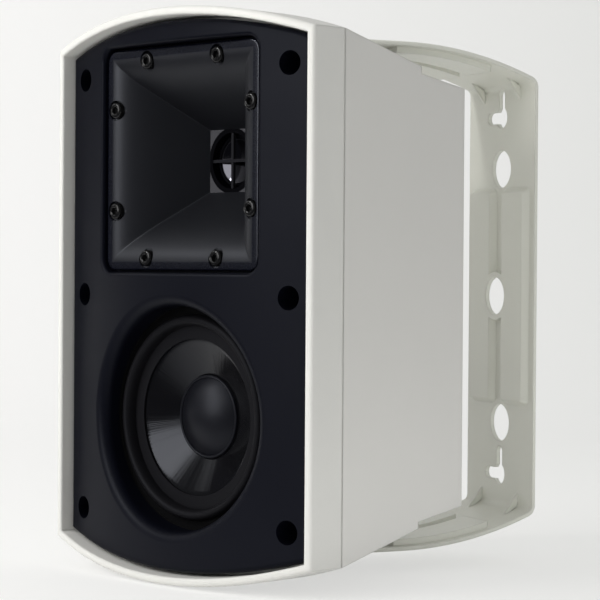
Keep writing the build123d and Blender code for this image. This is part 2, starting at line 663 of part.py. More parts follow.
with BuildPart() as horn:
    with BuildSketch(at_depth(HORN_FLANGE_BACK)) as flange:
        with Locations((0, HORN_Z)):
            RectangleRounded(HORN_FLANGE, HORN_FLANGE, HORN_FLANGE_ROUND)
    extrude(flange.sketch, amount=HORN_FLANGE_THICKNESS)
    fillet(horn.faces().sort_by(Axis.Y)[0].edges(), HORN_EDGE_ROUND)
    add(horn_passage.part, mode=Mode.SUBTRACT)
    rounds(HORN_SCREWS, HORN_COUNTERBORE, HORN_FLANGE_FRONT, HORN_SCREW_SEAT, Mode.SUBTRACT)
    rounds(HORN_SCREWS, HORN_SCREW_RADIUS + SCREW_SLACK, HORN_SCREW_SEAT, HORN_FLANGE_BACK, Mode.SUBTRACT)
write(horn, "horn")

with BuildPart() as horn_walls:
    body_front = horn_layer(HORN_BODY, HORN_FLANGE_BACK)
    body_back = horn_layer(HORN_THROAT + 2 * HORN_WALL, HORN_THROAT_DEPTH)
    loft([body_front, body_back], ruled=True)
    rounds(DRIVER_SCREWS, DRIVER_BOSS_RADIUS, DRIVER_SCREW_END - HORN_WALL, HORN_THROAT_DEPTH)
    add(horn_passage.part, mode=Mode.SUBTRACT)
    rounds(DRIVER_SCREWS, HORN_SCREW_RADIUS + RUNNING, DRIVER_SCREW_END, HORN_THROAT_DEPTH, Mode.SUBTRACT)

for side, out, up in (("right", 1, 0), ("top", 0, 1), ("left", -1, 0), ("bottom", 0, -1)):
    with BuildPart() as horn_wall:
        add(horn_walls.part)
        with BuildSketch(at_depth(HORN_FLANGE_BACK)) as mitre:
            with BuildLine():
                Polyline(
                    (0, HORN_Z),
                    (HORN_FLANGE * (out - up), HORN_Z + HORN_FLANGE * (up + out)),
                    (HORN_FLANGE * (out + up), HORN_Z + HORN_FLANGE * (up - out)),
                    close=True,
                )
            make_face()
        extrude(mitre.sketch, amount=HORN_FLANGE_BACK - HORN_THROAT_DEPTH, mode=Mode.INTERSECT)
    write(horn_wall, f"horn_{side}_wall")

# Flat gasket between the horn's flange and the baffle
with BuildPart() as horn_gasket:
    extrude(flange.sketch, amount=-HORN_GASKET)
    block(HORN_PASSAGE, HORN_PASSAGE, HORN_FLANGE_BACK, HORN_SEAT, 0, HORN_Z, Mode.SUBTRACT)
    rounds(HORN_SCREWS, HORN_SCREW_RADIUS + SCREW_SLACK, HORN_FLANGE_BACK, HORN_SEAT, Mode.SUBTRACT)
write(horn_gasket, "horn_gasket")

with BuildPart() as horn_screws:
    screws(
        HORN_SCREWS,
        HORN_SCREW_RADIUS,
        HORN_SCREW_HEAD,
        HORN_SCREW_HEAD_HEIGHT,
        HORN_SCREW_SEAT,
        HORN_SEAT + HORN_SCREW_LENGTH - SLIP,
    )
write(horn_screws, "horn_screws")

# Throat plate: the driver's front plate, with a cross over its bore
DOME_SEAT = DIAPHRAGM_BACK - DOME_SKIN
BAR_FRONT = HORN_THROAT_DEPTH + SLIP
with BuildPart() as throat_plate:
    turn(
        HORN_Z,
        [
            (THROAT_BORE, HORN_THROAT_DEPTH),
            (DRIVER_PLATE_RADIUS, HORN_THROAT_DEPTH),
            (DRIVER_PLATE_RADIUS, DIAPHRAGM_BACK),
            (DOME_RIM + RUNNING, DIAPHRAGM_BACK),
            (DOME_RIM + RUNNING, DOME_SEAT),
            (THROAT_BORE, DOME_SEAT),
        ],
    )
    block(2 * THROAT_BORE + THROAT_BAR, THROAT_BAR, BAR_FRONT, BAR_FRONT + THROAT_BAR, 0, HORN_Z)
    block(THROAT_BAR, 2 * THROAT_BORE + THROAT_BAR, BAR_FRONT, BAR_FRONT + THROAT_BAR, 0, HORN_Z)
    rounds(DRIVER_SCREWS, HORN_SCREW_RADIUS + SCREW_SLACK, HORN_THROAT_DEPTH, DIAPHRAGM_BACK, Mode.SUBTRACT)
write(throat_plate, "throat_plate")

# Horn driver: clamped dome diaphragm with its coil in the gap of a ring magnet
DOME_INNER = DOME_RADIUS - DOME_SKIN
with BuildPart() as tweeter_diaphragm:
    with BuildSketch() as dome_skin:
        with BuildLine():
            ThreePointArc(*dome(DOME_RADIUS, DOME_HEIGHT, DOME_SEAT))
            Polyline(
                (DOME_RADIUS, DOME_SEAT),
                (DOME_RIM, DOME_SEAT),
                (DOME_RIM, DIAPHRAGM_BACK),
                (DOME_INNER, DIAPHRAGM_BACK),
            )
            ThreePointArc(*dome(DOME_INNER, DOME_HEIGHT, DIAPHRAGM_BACK))
            Line((0, DIAPHRAGM_BACK - DOME_HEIGHT), (0, DOME_SEAT - DOME_HEIGHT))
        make_face()
    spin(dome_skin, HORN_Z)
write(tweeter_diaphragm, "tweeter_diaphragm")

with BuildPart() as tweeter_coil:
    ring(HORN_Z, DOME_RADIUS, DRIVER_COIL_RADIUS, DIAPHRAGM_BACK, DIAPHRAGM_BACK + DRIVER_COIL_LENGTH)
write(tweeter_coil, "tweeter_coil")

with BuildPart() as tweeter_plate:
    ring(HORN_Z, DRIVER_COIL_RADIUS + DRIVER_AIR_GAP, DRIVER_PLATE_RADIUS, DIAPHRAGM_BACK, DRIVER_PLATE_BACK)
    rounds(DRIVER_SCREWS, HORN_SCREW_RADIUS + SCREW_SLACK, DIAPHRAGM_BACK, DRIVER_PLATE_BACK, Mode.SUBTRACT)
write(tweeter_plate, "tweeter_plate")

with BuildPart() as tweeter_magnet:
    ring(HORN_Z, DRIVER_MAGNET_HOLE, DRIVER_MAGNET_RADIUS, DRIVER_PLATE_BACK, DRIVER_MAGNET_BACK)
write(tweeter_magnet, "tweeter_magnet")

with BuildPart() as tweeter_yoke:
    rounds([(0, HORN_Z)], DOME_RADIUS - DRIVER_AIR_GAP, DIAPHRAGM_BACK + DRIVER_AIR_GAP, DRIVER_BACK)
    rounds([(0, HORN_Z)], DRIVER_MAGNET_RADIUS, DRIVER_MAGNET_BACK, DRIVER_BACK)
write(tweeter_yoke, "tweeter_yoke")

with BuildPart() as tweeter_screws:
    screws(
        DRIVER_SCREWS,
        HORN_SCREW_RADIUS,
        HORN_SCREW_HEAD,
        HORN_SCREW_HEAD_HEIGHT,
        DRIVER_PLATE_BACK,
        DRIVER_SCREW_END + SLIP,
    )
write(tweeter_screws, "tweeter_screws")

# Woofer frame: a square plate, a windowed cone and a seat for the magnet
SPIDER_SEAT = SPIDER_DEPTH + SPIDER_SKIN
BASKET_FLOOR = BASKET_END - WOOFER_FRAME_SHEET
BASKET_TAPER = (BASKET_MOUTH - BASKET_SEAT) / (BASKET_FLOOR - WOOFER_FRAME_BACK)
SHELF_OUTER = BASKET_MOUTH - BASKET_TAPER * (SPIDER_SEAT - WOOFER_FRAME_BACK) + WOOFER_FRAME_SHEET / 2
with BuildPart() as woofer_basket:
    with BuildSketch(at_depth(WOOFER_FRAME_BACK)) as frame_plate:
        with Locations((0, WOOFER_Z)):
            RectangleRounded(WOOFER_FRAME, WOOFER_FRAME, WOOFER_FRAME_ROUND)
            Circle(SURROUND_CENTRE, mode=Mode.SUBTRACT)
    extrude(frame_plate.sketch, amount=WOOFER_FRAME_SHEET)
    turn(
        WOOFER_Z,
        [
            (BASKET_MOUTH, WOOFER_FRAME_BACK),
            (BASKET_MOUTH + WOOFER_FRAME_SHEET, WOOFER_FRAME_BACK),
            (BASKET_SEAT + WOOFER_FRAME_SHEET, BASKET_END),
            (MAGNET_HOLE, BASKET_END),
            (MAGNET_HOLE, BASKET_FLOOR),
            (BASKET_SEAT, BASKET_FLOOR),
        ],
    )
    window_front = WOOFER_FRAME_BACK + BASKET_WINDOW_EDGE
    window_back = SPIDER_SEAT - BASKET_WINDOW_EDGE
    block(WOOFER_FRAME, BASKET_WINDOW, window_front, window_back, 0, WOOFER_Z, Mode.SUBTRACT)
    block(BASKET_WINDOW, WOOFER_FRAME, window_front, window_back, 0, WOOFER_Z, Mode.SUBTRACT)
    ring(WOOFER_Z, SPIDER_OUTER - SPIDER_SHELF, SHELF_OUTER, SPIDER_SEAT, SPIDER_SEAT + WOOFER_FRAME_SHEET)
    screw_hole = HORN_SCREW_RADIUS + SCREW_SLACK
    rounds(WOOFER_SCREWS, screw_hole, WOOFER_FRAME_FRONT, WOOFER_FRAME_BACK, Mode.SUBTRACT)
write(woofer_basket, "woofer_basket")

with BuildPart() as woofer_gasket:
    ring(WOOFER_Z, WOOFER_OPENING, WOOFER_OPENING + WOOFER_FLARE, BAFFLE_BACK, WOOFER_FRAME_FRONT)
write(woofer_gasket, "woofer_gasket")

with BuildPart() as woofer_screws:
    screws(
        WOOFER_SCREWS,
        HORN_SCREW_RADIUS,
        HORN_SCREW_HEAD,
        HORN_SCREW_HEAD_HEIGHT,
        WOOFER_FRAME_BACK,
        BAFFLE_BACK - HORN_SCREW_LENGTH + SLIP,
    )
write(woofer_screws, "woofer_screws")

# Rubber surround: a rim on the frame, a half roll and a foot on the cone
ROLL_INNER = SURROUND_ROLL - SURROUND_SKIN
with BuildPart() as woofer_surround:
    with BuildSketch() as roll:
        with BuildLine():
            ThreePointArc(
                (SURROUND_CENTRE + SURROUND_ROLL, SURROUND_FRONT),
                (SURROUND_CENTRE, SURROUND_FRONT - SURROUND_ROLL),
                (SURROUND_CENTRE - SURROUND_ROLL, SURROUND_FRONT),
            )
            Polyline(
                (SURROUND_CENTRE - SURROUND_ROLL, SURROUND_FRONT),
                (SURROUND_CENTRE - SURROUND_ROLL, CONE_DEPTH - SURROUND_SKIN),
                (CONE_SHOULDER, CONE_DEPTH - SURROUND_SKIN),
                (CONE_SHOULDER, CONE_DEPTH),
                (SURROUND_CENTRE - ROLL_INNER, CONE_DEPTH),
                (SURROUND_CENTRE - ROLL_INNER, SURROUND_FRONT),
            )
            ThreePointArc(
                (SURROUND_CENTRE - ROLL_INNER, SURROUND_FRONT),
                (SURROUND_CENTRE, SURROUND_FRONT - ROLL_INNER),
                (SURROUND_CENTRE + ROLL_INNER, SURROUND_FRONT),
            )
            Polyline(
                (SURROUND_CENTRE + ROLL_INNER, SURROUND_FRONT),
                (SURROUND_CENTRE + ROLL_INNER, WOOFER_FRAME_FRONT),
                (SURROUND_OUTER, WOOFER_FRAME_FRONT),
                (SURROUND_OUTER, SURROUND_FRONT),
                (SURROUND_CENTRE + SURROUND_ROLL, SURROUND_FRONT),
            )
        make_face()
    spin(roll, WOOFER_Z)
write(woofer_surround, "woofer_surround")


def cone_front(radius):
    """Depth of the cone's front face at a radius."""
    return CONE_DEPTH + max(0.0, CONE_SHOULDER - radius) * CONE_SLOPE


CONE_HOLE = FORMER_RADIUS + RUNNING
with BuildPart() as woofer_cone:
    turn(
        WOOFER_Z,
        [
            (CONE_RIM, CONE_DEPTH),
            (CONE_SHOULDER, CONE_DEPTH),
            (CONE_HOLE, cone_front(CONE_HOLE)),
            (CONE_HOLE, cone_front(CONE_HOLE) + CONE_SKIN),
            (CONE_SHOULDER, CONE_DEPTH + CONE_SKIN),
            (CONE_RIM, CONE_DEPTH + CONE_SKIN),
        ],
    )
write(woofer_cone, "woofer_cone")

# Dust cap: a dome with a narrow foot glued to the cone
CAP_FOOT = DUST_CAP + DUST_CAP_FOOT
CAP_RIM = cone_front(CAP_FOOT) - DOME_SKIN
CAP_RISE = DUST_CAP_HEIGHT - cone_front(DUST_CAP) + CAP_RIM
CAP_INNER = DUST_CAP - DOME_SKIN
with BuildPart() as dust_cap:
    with BuildSketch() as cap_skin:
        with BuildLine():
            ThreePointArc(*dome(DUST_CAP, CAP_RISE, CAP_RIM))
            Polyline(
                (DUST_CAP, CAP_RIM),
                (CAP_FOOT, CAP_RIM),
                (CAP_FOOT, cone_front(CAP_FOOT)),
                (DUST_CAP, cone_front(DUST_CAP)),
                (CAP_INNER, cone_front(DUST_CAP)),
            )
            ThreePointArc(*dome(CAP_INNER, DUST_CAP_HEIGHT - DOME_SKIN, cone_front(DUST_CAP)))
            Line((0, cone_front(DUST_CAP) - DUST_CAP_HEIGHT + DOME_SKIN), (0, CAP_RIM - CAP_RISE))
        make_face()
    spin(cap_skin, WOOFER_Z)
write(dust_cap, "dust_cap")

FORMER_FRONT = cone_front(FORMER_RADIUS) - CONE_SKIN
with BuildPart() as coil_former:
    ring(WOOFER_Z, FORMER_RADIUS - FORMER_WALL, FORMER_RADIUS, FORMER_FRONT, FORMER_END)
write(coil_former, "coil_former")

COIL_END = FORMER_END - COIL_WALL
with BuildPart() as voice_coil:
    ring(WOOFER_Z, FORMER_RADIUS, COIL_RADIUS, COIL_END - COIL_LENGTH, COIL_END)
write(voice_coil, "voice_coil")

# Spider: a waved disc from the basket's shelf to the coil former
SPIDER_HOLE = FORMER_RADIUS + RUNNING
SPIDER_INNER = SPIDER_OUTER - SPIDER_SHELF
SPIDER_STEPS = 4
SPIDER_STEP = (SPIDER_INNER - SPIDER_HOLE) / SPIDER_STEPS
SPIDER_FRONT = [
    (SPIDER_HOLE + SPIDER_STEP * step, SPIDER_DEPTH + SPIDER_WAVE * (step % 2))
    for step in range(SPIDER_STEPS + 1)
] + [(SPIDER_OUTER, SPIDER_DEPTH)]
SPIDER_BACK = [(radius, depth + SPIDER_SKIN) for radius, depth in reversed(SPIDER_FRONT)]
with BuildPart() as woofer_spider:
    turn(WOOFER_Z, SPIDER_FRONT + SPIDER_BACK)
write(woofer_spider, "woofer_spider")

with BuildPart() as woofer_top_plate:
    ring(WOOFER_Z, COIL_RADIUS + MAGNET_AIR_GAP, BASKET_SEAT, BASKET_END, TOP_PLATE_BACK)
write(woofer_top_plate, "woofer_top_plate")

with BuildPart() as woofer_magnet:
    ring(WOOFER_Z, MAGNET_HOLE, MAGNET_RADIUS, TOP_PLATE_BACK, MAGNET_BACK)
write(woofer_magnet, "woofer_magnet")

with BuildPart() as woofer_yoke:
    rounds([(0, WOOFER_Z)], FORMER_RADIUS - FORMER_WALL - MAGNET_AIR_GAP, BASKET_END, YOKE_BACK)
    rounds([(0, WOOFER_Z)], BASKET_SEAT, MAGNET_BACK, YOKE_BACK)
write(woofer_yoke, "woofer_yoke")

# Crossover board and what stands on it
with BuildPart() as crossover_board:
    block(BOARD_WIDTH, BOARD_HEIGHT, BOARD_FRONT, BOARD_BACK, 0, BOARD_Z)
    rounds(BOARD_HOLES, SMALL_SCREW + SCREW_SLACK, BOARD_FRONT, BOARD_BACK, Mode.SUBTRACT)
write(crossover_board, "crossover_board")

INDUCTOR_X = -BOARD_WIDTH / 4
INDUCTOR_FRONT = BOARD_FRONT - INDUCTOR_HEIGHT
INDUCTOR_CHEEK = BOARD_THICKNESS
with BuildPart() as crossover_inductor:
    cheek = INDUCTOR_FRONT + INDUCTOR_CHEEK
    ring(BOARD_Z, INDUCTOR_HOLE, INDUCTOR_RADIUS, INDUCTOR_FRONT, cheek, INDUCTOR_X)
    ring(BOARD_Z, INDUCTOR_HOLE, INDUCTOR_RADIUS - INDUCTOR_CHEEK, INDUCTOR_FRONT, BOARD_FRONT, INDUCTOR_X)
    ring(BOARD_Z, INDUCTOR_HOLE, INDUCTOR_RADIUS, BOARD_FRONT - INDUCTOR_CHEEK, BOARD_FRONT, INDUCTOR_X)
write(crossover_inductor, "crossover_inductor")

CAPACITOR_X = BOARD_WIDTH / 4 - CUP_WALL
CAPACITOR_OUT = CAPACITOR_RADIUS + RESISTOR_SIDE / 2 + SCREW_SLACK
CANS = [(BOARD_FRONT - CAPACITOR_RADIUS, BOARD_Z + out * CAPACITOR_OUT) for out in (-1, 1)]
with BuildPart() as crossover_capacitors:
    with BuildSketch(Plane.YZ.offset(CAPACITOR_X - CAPACITOR_LENGTH / 2)) as cans:
        with Locations(*CANS):
            Circle(CAPACITOR_RADIUS)
    extrude(cans.sketch, amount=CAPACITOR_LENGTH)
write(crossover_capacitors, "crossover_capacitors")

with BuildPart() as crossover_resistor:
    block(RESISTOR_LENGTH, RESISTOR_SIDE, BOARD_FRONT - RESISTOR_SIDE, BOARD_FRONT, CAPACITOR_X, BOARD_Z)
write(crossover_resistor, "crossover_resistor")

with BuildPart() as crossover_screws:
    tip = INNER_BACK - SLIP
    screws(BOARD_HOLES, SMALL_SCREW, SMALL_SCREW_HEAD, SMALL_SCREW_HEAD_HEIGHT, BOARD_FRONT, tip)
write(crossover_screws, "crossover_screws")

# Terminal cup let into the back, its gasket, screws, posts and caps
CUP_FLANGE_WIDTH = CUP_WIDTH + 2 * CUP_FLANGE
CUP_FLANGE_HEIGHT = CUP_HEIGHT + 2 * CUP_FLANGE
POSTS = [(-POST_SPACING / 2, CUP_Z), (POST_SPACING / 2, CUP_Z)]
with BuildPart() as terminal_cup:
    block(CUP_WIDTH, CUP_HEIGHT, CUP_NOSE, CUP_FLANGE_BACK, 0, CUP_Z)
    block(CUP_FLANGE_WIDTH, CUP_FLANGE_HEIGHT, CUP_FLANGE_FRONT, CUP_FLANGE_BACK, 0, CUP_Z)
    rim_corners = terminal_cup.edges().filter_by(Axis.Y).group_by(Axis.Y)[-1]
    fillet(rim_corners, CUP_WALL)
    cup_bore = (CUP_WIDTH - 2 * CUP_WALL, CUP_HEIGHT - 2 * CUP_WALL)
    block(*cup_bore, CUP_FLOOR, CUP_FLANGE_BACK, 0, CUP_Z, Mode.SUBTRACT)
    rounds(POSTS, POST_RADIUS + RUNNING, CUP_NOSE, CUP_FLOOR, Mode.SUBTRACT)
    rounds(CUP_SCREWS, SMALL_SCREW + SCREW_SLACK, CUP_FLANGE_FRONT, CUP_FLANGE_BACK, Mode.SUBTRACT)
write(terminal_cup, "terminal_cup")

with BuildPart() as terminal_gasket:
    block(CUP_FLANGE_WIDTH, CUP_FLANGE_HEIGHT, CABINET_BACK, CUP_FLANGE_FRONT, 0, CUP_Z)
    fillet(terminal_gasket.edges().filter_by(Axis.Y), CUP_WALL)
    cut_out = (CUP_WIDTH + 2 * SLIP, CUP_HEIGHT + 2 * SLIP)
    block(*cut_out, CABINET_BACK, CUP_FLANGE_FRONT, 0, CUP_Z, Mode.SUBTRACT)
    rounds(CUP_SCREWS, SMALL_SCREW + SCREW_SLACK, CABINET_BACK, CUP_FLANGE_FRONT, Mode.SUBTRACT)
write(terminal_gasket, "terminal_gasket")

with BuildPart() as terminal_screws:
    screws(CUP_SCREWS, SMALL_SCREW, SMALL_SCREW_HEAD, SMALL_SCREW_HEAD_HEIGHT, CUP_FLANGE_BACK, INNER_BACK)
write(terminal_screws, "terminal_screws")

POST_SHOULDER = CUP_FLOOR + POST_BASE
POST_CAP_FRONT = POST_SHOULDER + SLIP
POST_CAP_BACK = POST_CAP_FRONT + POST_CAP_LENGTH
POST_END = POST_CAP_BACK - CUP_WALL
with BuildPart() as terminal_posts:
    rounds(POSTS, POST_RADIUS, CUP_NOSE - 2 * POST_BASE, POST_END - SLIP)
    rounds(POSTS, 2 * POST_RADIUS, CUP_NOSE - POST_BASE, CUP_NOSE)
    rounds(POSTS, 2 * POST_RADIUS, CUP_FLOOR, POST_SHOULDER)
write(terminal_posts, "terminal_posts")

for name, post in (("red_terminal_cap", POSTS[0]), ("black_terminal_cap", POSTS[1])):
    with BuildPart() as terminal_cap:
        rounds([post], POST_CAP_RADIUS, POST_CAP_FRONT, POST_CAP_BACK)
        chamfer(terminal_cap.faces().sort_by(Axis.Y)[-1].edges(), SLIP)
        rounds([post], POST_RADIUS + RUNNING, POST_CAP_FRONT, POST_END, Mode.SUBTRACT)
    write(terminal_cap, name)

# Swivel: threaded inserts, washers and the two clamping knobs
INSERT_FOOT = PIVOT_SEAT - INSERT_LENGTH
with BuildPart() as pivot_inserts:
    disc(INSERT_RADIUS - RUNNING, INSERT_FOOT, PIVOT_SEAT)
    disc(PIVOT_COLLAR, PIVOT_SEAT, COLLAR_TOP)
    disc(KNOB_STUD + RUNNING, INSERT_FOOT, COLLAR_TOP, Mode.SUBTRACT)
    mirror(about=Plane.XY)
write(pivot_inserts, "pivot_inserts")

with BuildPart() as pivot_washers:
    disc(PIVOT_SEAT_RADIUS, PIVOT_SEAT, ARM_UNDERSIDE)
    disc(PIVOT_COLLAR + SLIP, PIVOT_SEAT, ARM_UNDERSIDE, Mode.SUBTRACT)
    mirror(about=Plane.XY)
write(pivot_washers, "pivot_washers")

KNOB_UNDERSIDE = BRACKET_HALF_HEIGHT + KNOB_GAP
with BuildPart() as upper_pivot_knob:
    disc(KNOB_RADIUS, KNOB_UNDERSIDE, KNOB_UNDERSIDE + KNOB_HEIGHT)
    chamfer(upper_pivot_knob.faces().sort_by(Axis.Z)[-1].edges(), KNOB_HEIGHT / 6)
    with BuildSketch(Plane.XY.offset(KNOB_UNDERSIDE)) as grips:
        with Locations((0, PIVOT_DEPTH)):
            with PolarLocations(KNOB_RADIUS + KNOB_GRIP_RADIUS / 3, KNOB_GRIPS):
                Circle(KNOB_GRIP_RADIUS)
    extrude(grips.sketch, amount=KNOB_HEIGHT, mode=Mode.SUBTRACT)
    disc(KNOB_STUD, INSERT_FOOT + SLIP, KNOB_UNDERSIDE)
write(upper_pivot_knob, "upper_pivot_knob")

with BuildPart() as lower_pivot_knob:
    add(upper_pivot_knob.part.mirror(Plane.XY))
write(lower_pivot_knob, "lower_pivot_knob")


def c_profile(inset):
    """Side view of the bracket's outer face moved inwards, drawn in (depth, height) from the pivot."""
    top = BRACKET_HALF_HEIGHT - inset
    back = BRACKET_REACH - inset
    front = -BRACKET_WIDTH
    bend = ARM_BEND - inset
    hub = BRACKET_HALF_HEIGHT - ARM_BEND
    swing = asin((back - ARM_FLAT) / bend)
    halfway = (ARM_FLAT + bend * sin(swing / 2), hub + bend * cos(swing / 2))
    corner = hub + bend * cos(swing)
    with BuildSketch(Plane.YZ) as side:
        with BuildLine():
            Polyline((ARM_FLAT, -top), (front, -top), (front, top), (ARM_FLAT, top))
            ThreePointArc((ARM_FLAT, top), halfway, (back, corner))
            Line((back, corner), (back, -corner))
            ThreePointArc((back, -corner), (halfway[0], -halfway[1]), (ARM_FLAT, -top))
        make_face()
        fillet(side.vertices().group_by(Axis.X)[-1], BRACKET_CORNER - inset)
    return side.sketch


def arm_height(depth, inset):
    """Height of the curved arm's face, moved inwards, at a depth from the pivot."""
    return BRACKET_HALF_HEIGHT - ARM_BEND + sqrt((ARM_BEND - inset) ** 2 - (depth - ARM_FLAT) ** 2)


def arm_plan(width, front, back):
    """Rectangle seen from above, between two depths from the pivot."""
    with Locations((0, (front + back) / 2)):
        Rectangle(width, back - front)


# Wall bracket: two curved arms and a slotted wall plate in one moulding
PAD_WIDTH = BRACKET_WIDTH / 2 - PAD_EDGE - PAD_GROOVE / 2
PAD_X = PAD_GROOVE / 2 + PAD_WIDTH / 2
with BuildPart() as arm_strips:
    extrude(c_profile(BRACKET_SHEET), amount=BRACKET_WIDTH / 2, both=True)
    extrude(c_profile(BRACKET_SHEET + ARM_STRIP), amount=BRACKET_WIDTH / 2, both=True, mode=Mode.SUBTRACT)
    with BuildSketch() as strip_plan:
        with Locations((-PAD_X, 0), (PAD_X, 0)):
            with Locations((0, (ARM_STRIP_FRONT + ARM_STRIP_BACK) / 2)):
                Rectangle(PAD_WIDTH, ARM_STRIP_BACK - ARM_STRIP_FRONT)
    extrude(strip_plan.sketch, amount=BRACKET_HALF_HEIGHT, both=True, mode=Mode.INTERSECT)

PAD_FACE = PLATE_FACE - PAD_HEIGHT
INNER_ROUND = BRACKET_CORNER - BRACKET_SHEET
INNER_CORNER = arm_height(PLATE_FACE, BRACKET_SHEET)
GUSSET_FRONT = PLATE_FACE - GUSSET_LEG
with BuildPart() as wall_bracket:
    extrude(c_profile(0), amount=BRACKET_WIDTH / 2, both=True)
    with BuildSketch() as bracket_plan:
        arm_plan(BRACKET_WIDTH, 0, BRACKET_REACH)
        Circle(BRACKET_WIDTH / 2)
    extrude(bracket_plan.sketch, amount=BRACKET_HALF_HEIGHT, both=True, mode=Mode.INTERSECT)
    across = wall_bracket.edges().filter_by(Axis.X)
    seams = wall_bracket.edges().filter_by(Axis.Z).sort_by(Axis.Y)[:2]
    fillet(wall_bracket.edges() - across - seams, BRACKET_EDGE_ROUND)
    extrude(c_profile(BRACKET_SHEET), amount=BRACKET_WIDTH, both=True, mode=Mode.SUBTRACT)
    add(arm_strips.part)
    with BuildSketch(at_depth(PLATE_FACE)) as pads:
        with Locations((-PAD_X, 0), (PAD_X, 0)):
            RectangleRounded(PAD_WIDTH, 2 * PAD_HALF_LENGTH, PAD_ROUND)
    extrude(pads.sketch, amount=PAD_HEIGHT, taper=PAD_DRAFT)
    rounds([(0, 0)], HUB_RADIUS, PAD_FACE, PLATE_FACE)
    with BuildSketch(at_depth(BRACKET_REACH)) as hollows:
        with Locations((-PAD_X, 0), (PAD_X, 0)):
            RectangleRounded(
                PAD_WIDTH - 2 * PAD_HOLLOW_INSET, 2 * (PAD_HALF_LENGTH - PAD_HOLLOW_INSET), PAD_ROUND
            )
    extrude(hollows.sketch, amount=PAD_HEIGHT, taper=PAD_DRAFT, mode=Mode.SUBTRACT)
    rounds([(0, 0)], HUB_RADIUS - PAD_HOLLOW_INSET, BRACKET_REACH - PAD_HEIGHT, BRACKET_REACH, Mode.SUBTRACT)
    for out in (-GUSSET_OUT, GUSSET_OUT):
        with BuildSketch(Plane.YZ.offset(out)) as gusset:
            with BuildLine():
                Polyline(
                    (PLATE_FACE + BRACKET_SHEET / 2, INNER_CORNER - GUSSET_LEG),
                    (PLATE_FACE - 0.15 * INNER_ROUND, INNER_CORNER - 0.2 * INNER_ROUND),
                    (GUSSET_FRONT, arm_height(GUSSET_FRONT, BRACKET_SHEET / 2)),
                    close=True,
                )
            make_face()
            mirror(about=Plane.XZ)
        extrude(gusset.sketch, amount=GUSSET_SHEET / 2, both=True)
    plate_holes = [(0, -PLATE_HOLE_Z), (0, 0), (0, PLATE_HOLE_Z)]
    rounds(plate_holes, PLATE_HOLE, PAD_FACE, BRACKET_REACH, Mode.SUBTRACT)
    with BuildSketch(at_depth(PAD_FACE)) as keyholes:
        for height in (-KEY_Z, KEY_Z):
            with Locations((0, height)):
                Circle(KEY_ENTRY)
            with Locations((0, height + KEY_RISE / 2)):
                SlotCenterToCenter(KEY_RISE, KEY_SLOT, rotation=90)
            with Locations((-KEY_SIDE / 2, height)):
                SlotCenterToCenter(KEY_SIDE, KEY_SLOT)
    extrude(keyholes.sketch, amount=PAD_FACE - BRACKET_REACH, mode=Mode.SUBTRACT)
    with BuildSketch() as pivot_holes:
        Circle(PIVOT_COLLAR + RUNNING)
    extrude(pivot_holes.sketch, amount=BRACKET_HALF_HEIGHT, both=True, mode=Mode.SUBTRACT)
write(wall_bracket, "wall_bracket", BRACKET_PLACE)
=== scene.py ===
"""Studio dressing of an outdoor patio speaker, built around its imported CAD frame."""
import json
import logging
import math
from dataclasses import dataclass
from enum import Enum
from typing import Any, Dict, List, Optional, Sequence, Tuple, Union

import bmesh
import bpy
from mathutils import Matrix, Vector


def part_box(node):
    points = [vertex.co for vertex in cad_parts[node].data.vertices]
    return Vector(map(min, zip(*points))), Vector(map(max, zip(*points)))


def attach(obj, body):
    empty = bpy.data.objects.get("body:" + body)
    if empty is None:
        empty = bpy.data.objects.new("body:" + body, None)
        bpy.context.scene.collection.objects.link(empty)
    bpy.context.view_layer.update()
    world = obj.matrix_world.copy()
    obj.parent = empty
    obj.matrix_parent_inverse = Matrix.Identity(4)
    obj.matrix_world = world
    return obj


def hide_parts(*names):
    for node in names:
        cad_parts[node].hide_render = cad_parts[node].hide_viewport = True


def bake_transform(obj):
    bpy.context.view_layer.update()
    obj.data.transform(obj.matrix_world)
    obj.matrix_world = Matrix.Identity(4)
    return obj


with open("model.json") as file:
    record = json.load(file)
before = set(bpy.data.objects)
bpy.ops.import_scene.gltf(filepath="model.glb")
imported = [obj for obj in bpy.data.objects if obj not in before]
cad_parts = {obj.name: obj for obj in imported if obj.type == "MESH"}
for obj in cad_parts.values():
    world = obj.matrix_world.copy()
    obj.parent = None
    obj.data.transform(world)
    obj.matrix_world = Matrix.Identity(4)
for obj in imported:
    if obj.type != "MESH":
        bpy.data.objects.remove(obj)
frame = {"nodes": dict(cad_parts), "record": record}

LOG = logging.getLogger("patio_speaker")
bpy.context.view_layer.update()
MM = 0.001
Point = Tuple[float, float, float]
Pair = Tuple[float, float]
Colour = Tuple[float, float, float]
Skin = Tuple[List[Point], List[List[int]]]
RIGHT: Point = (1.0, 0.0, 0.0)
BACK: Point = (0.0, 1.0, 0.0)
UP: Point = (0.0, 0.0, 1.0)
OFF_AXIS: Point = (1.0, 0.0, 1.0)
EVEN: Point = (1.0, 1.0, 1.0)
WHITE: Colour = (1.0, 1.0, 1.0)
DEEP_BLACK: Colour = (0.002, 0.002, 0.003)
BLUE_SHEEN: Colour = (0.84, 0.88, 1.0)
BEVEL_SAMPLES = 4
WELD = 1e-7


class Body(Enum):
    """CAD bodies that the new pieces ride on."""

    CABINET = "cabinet"
    CONE = "cone"
    RED_CAP = "red_cap"
    BLACK_CAP = "black_cap"


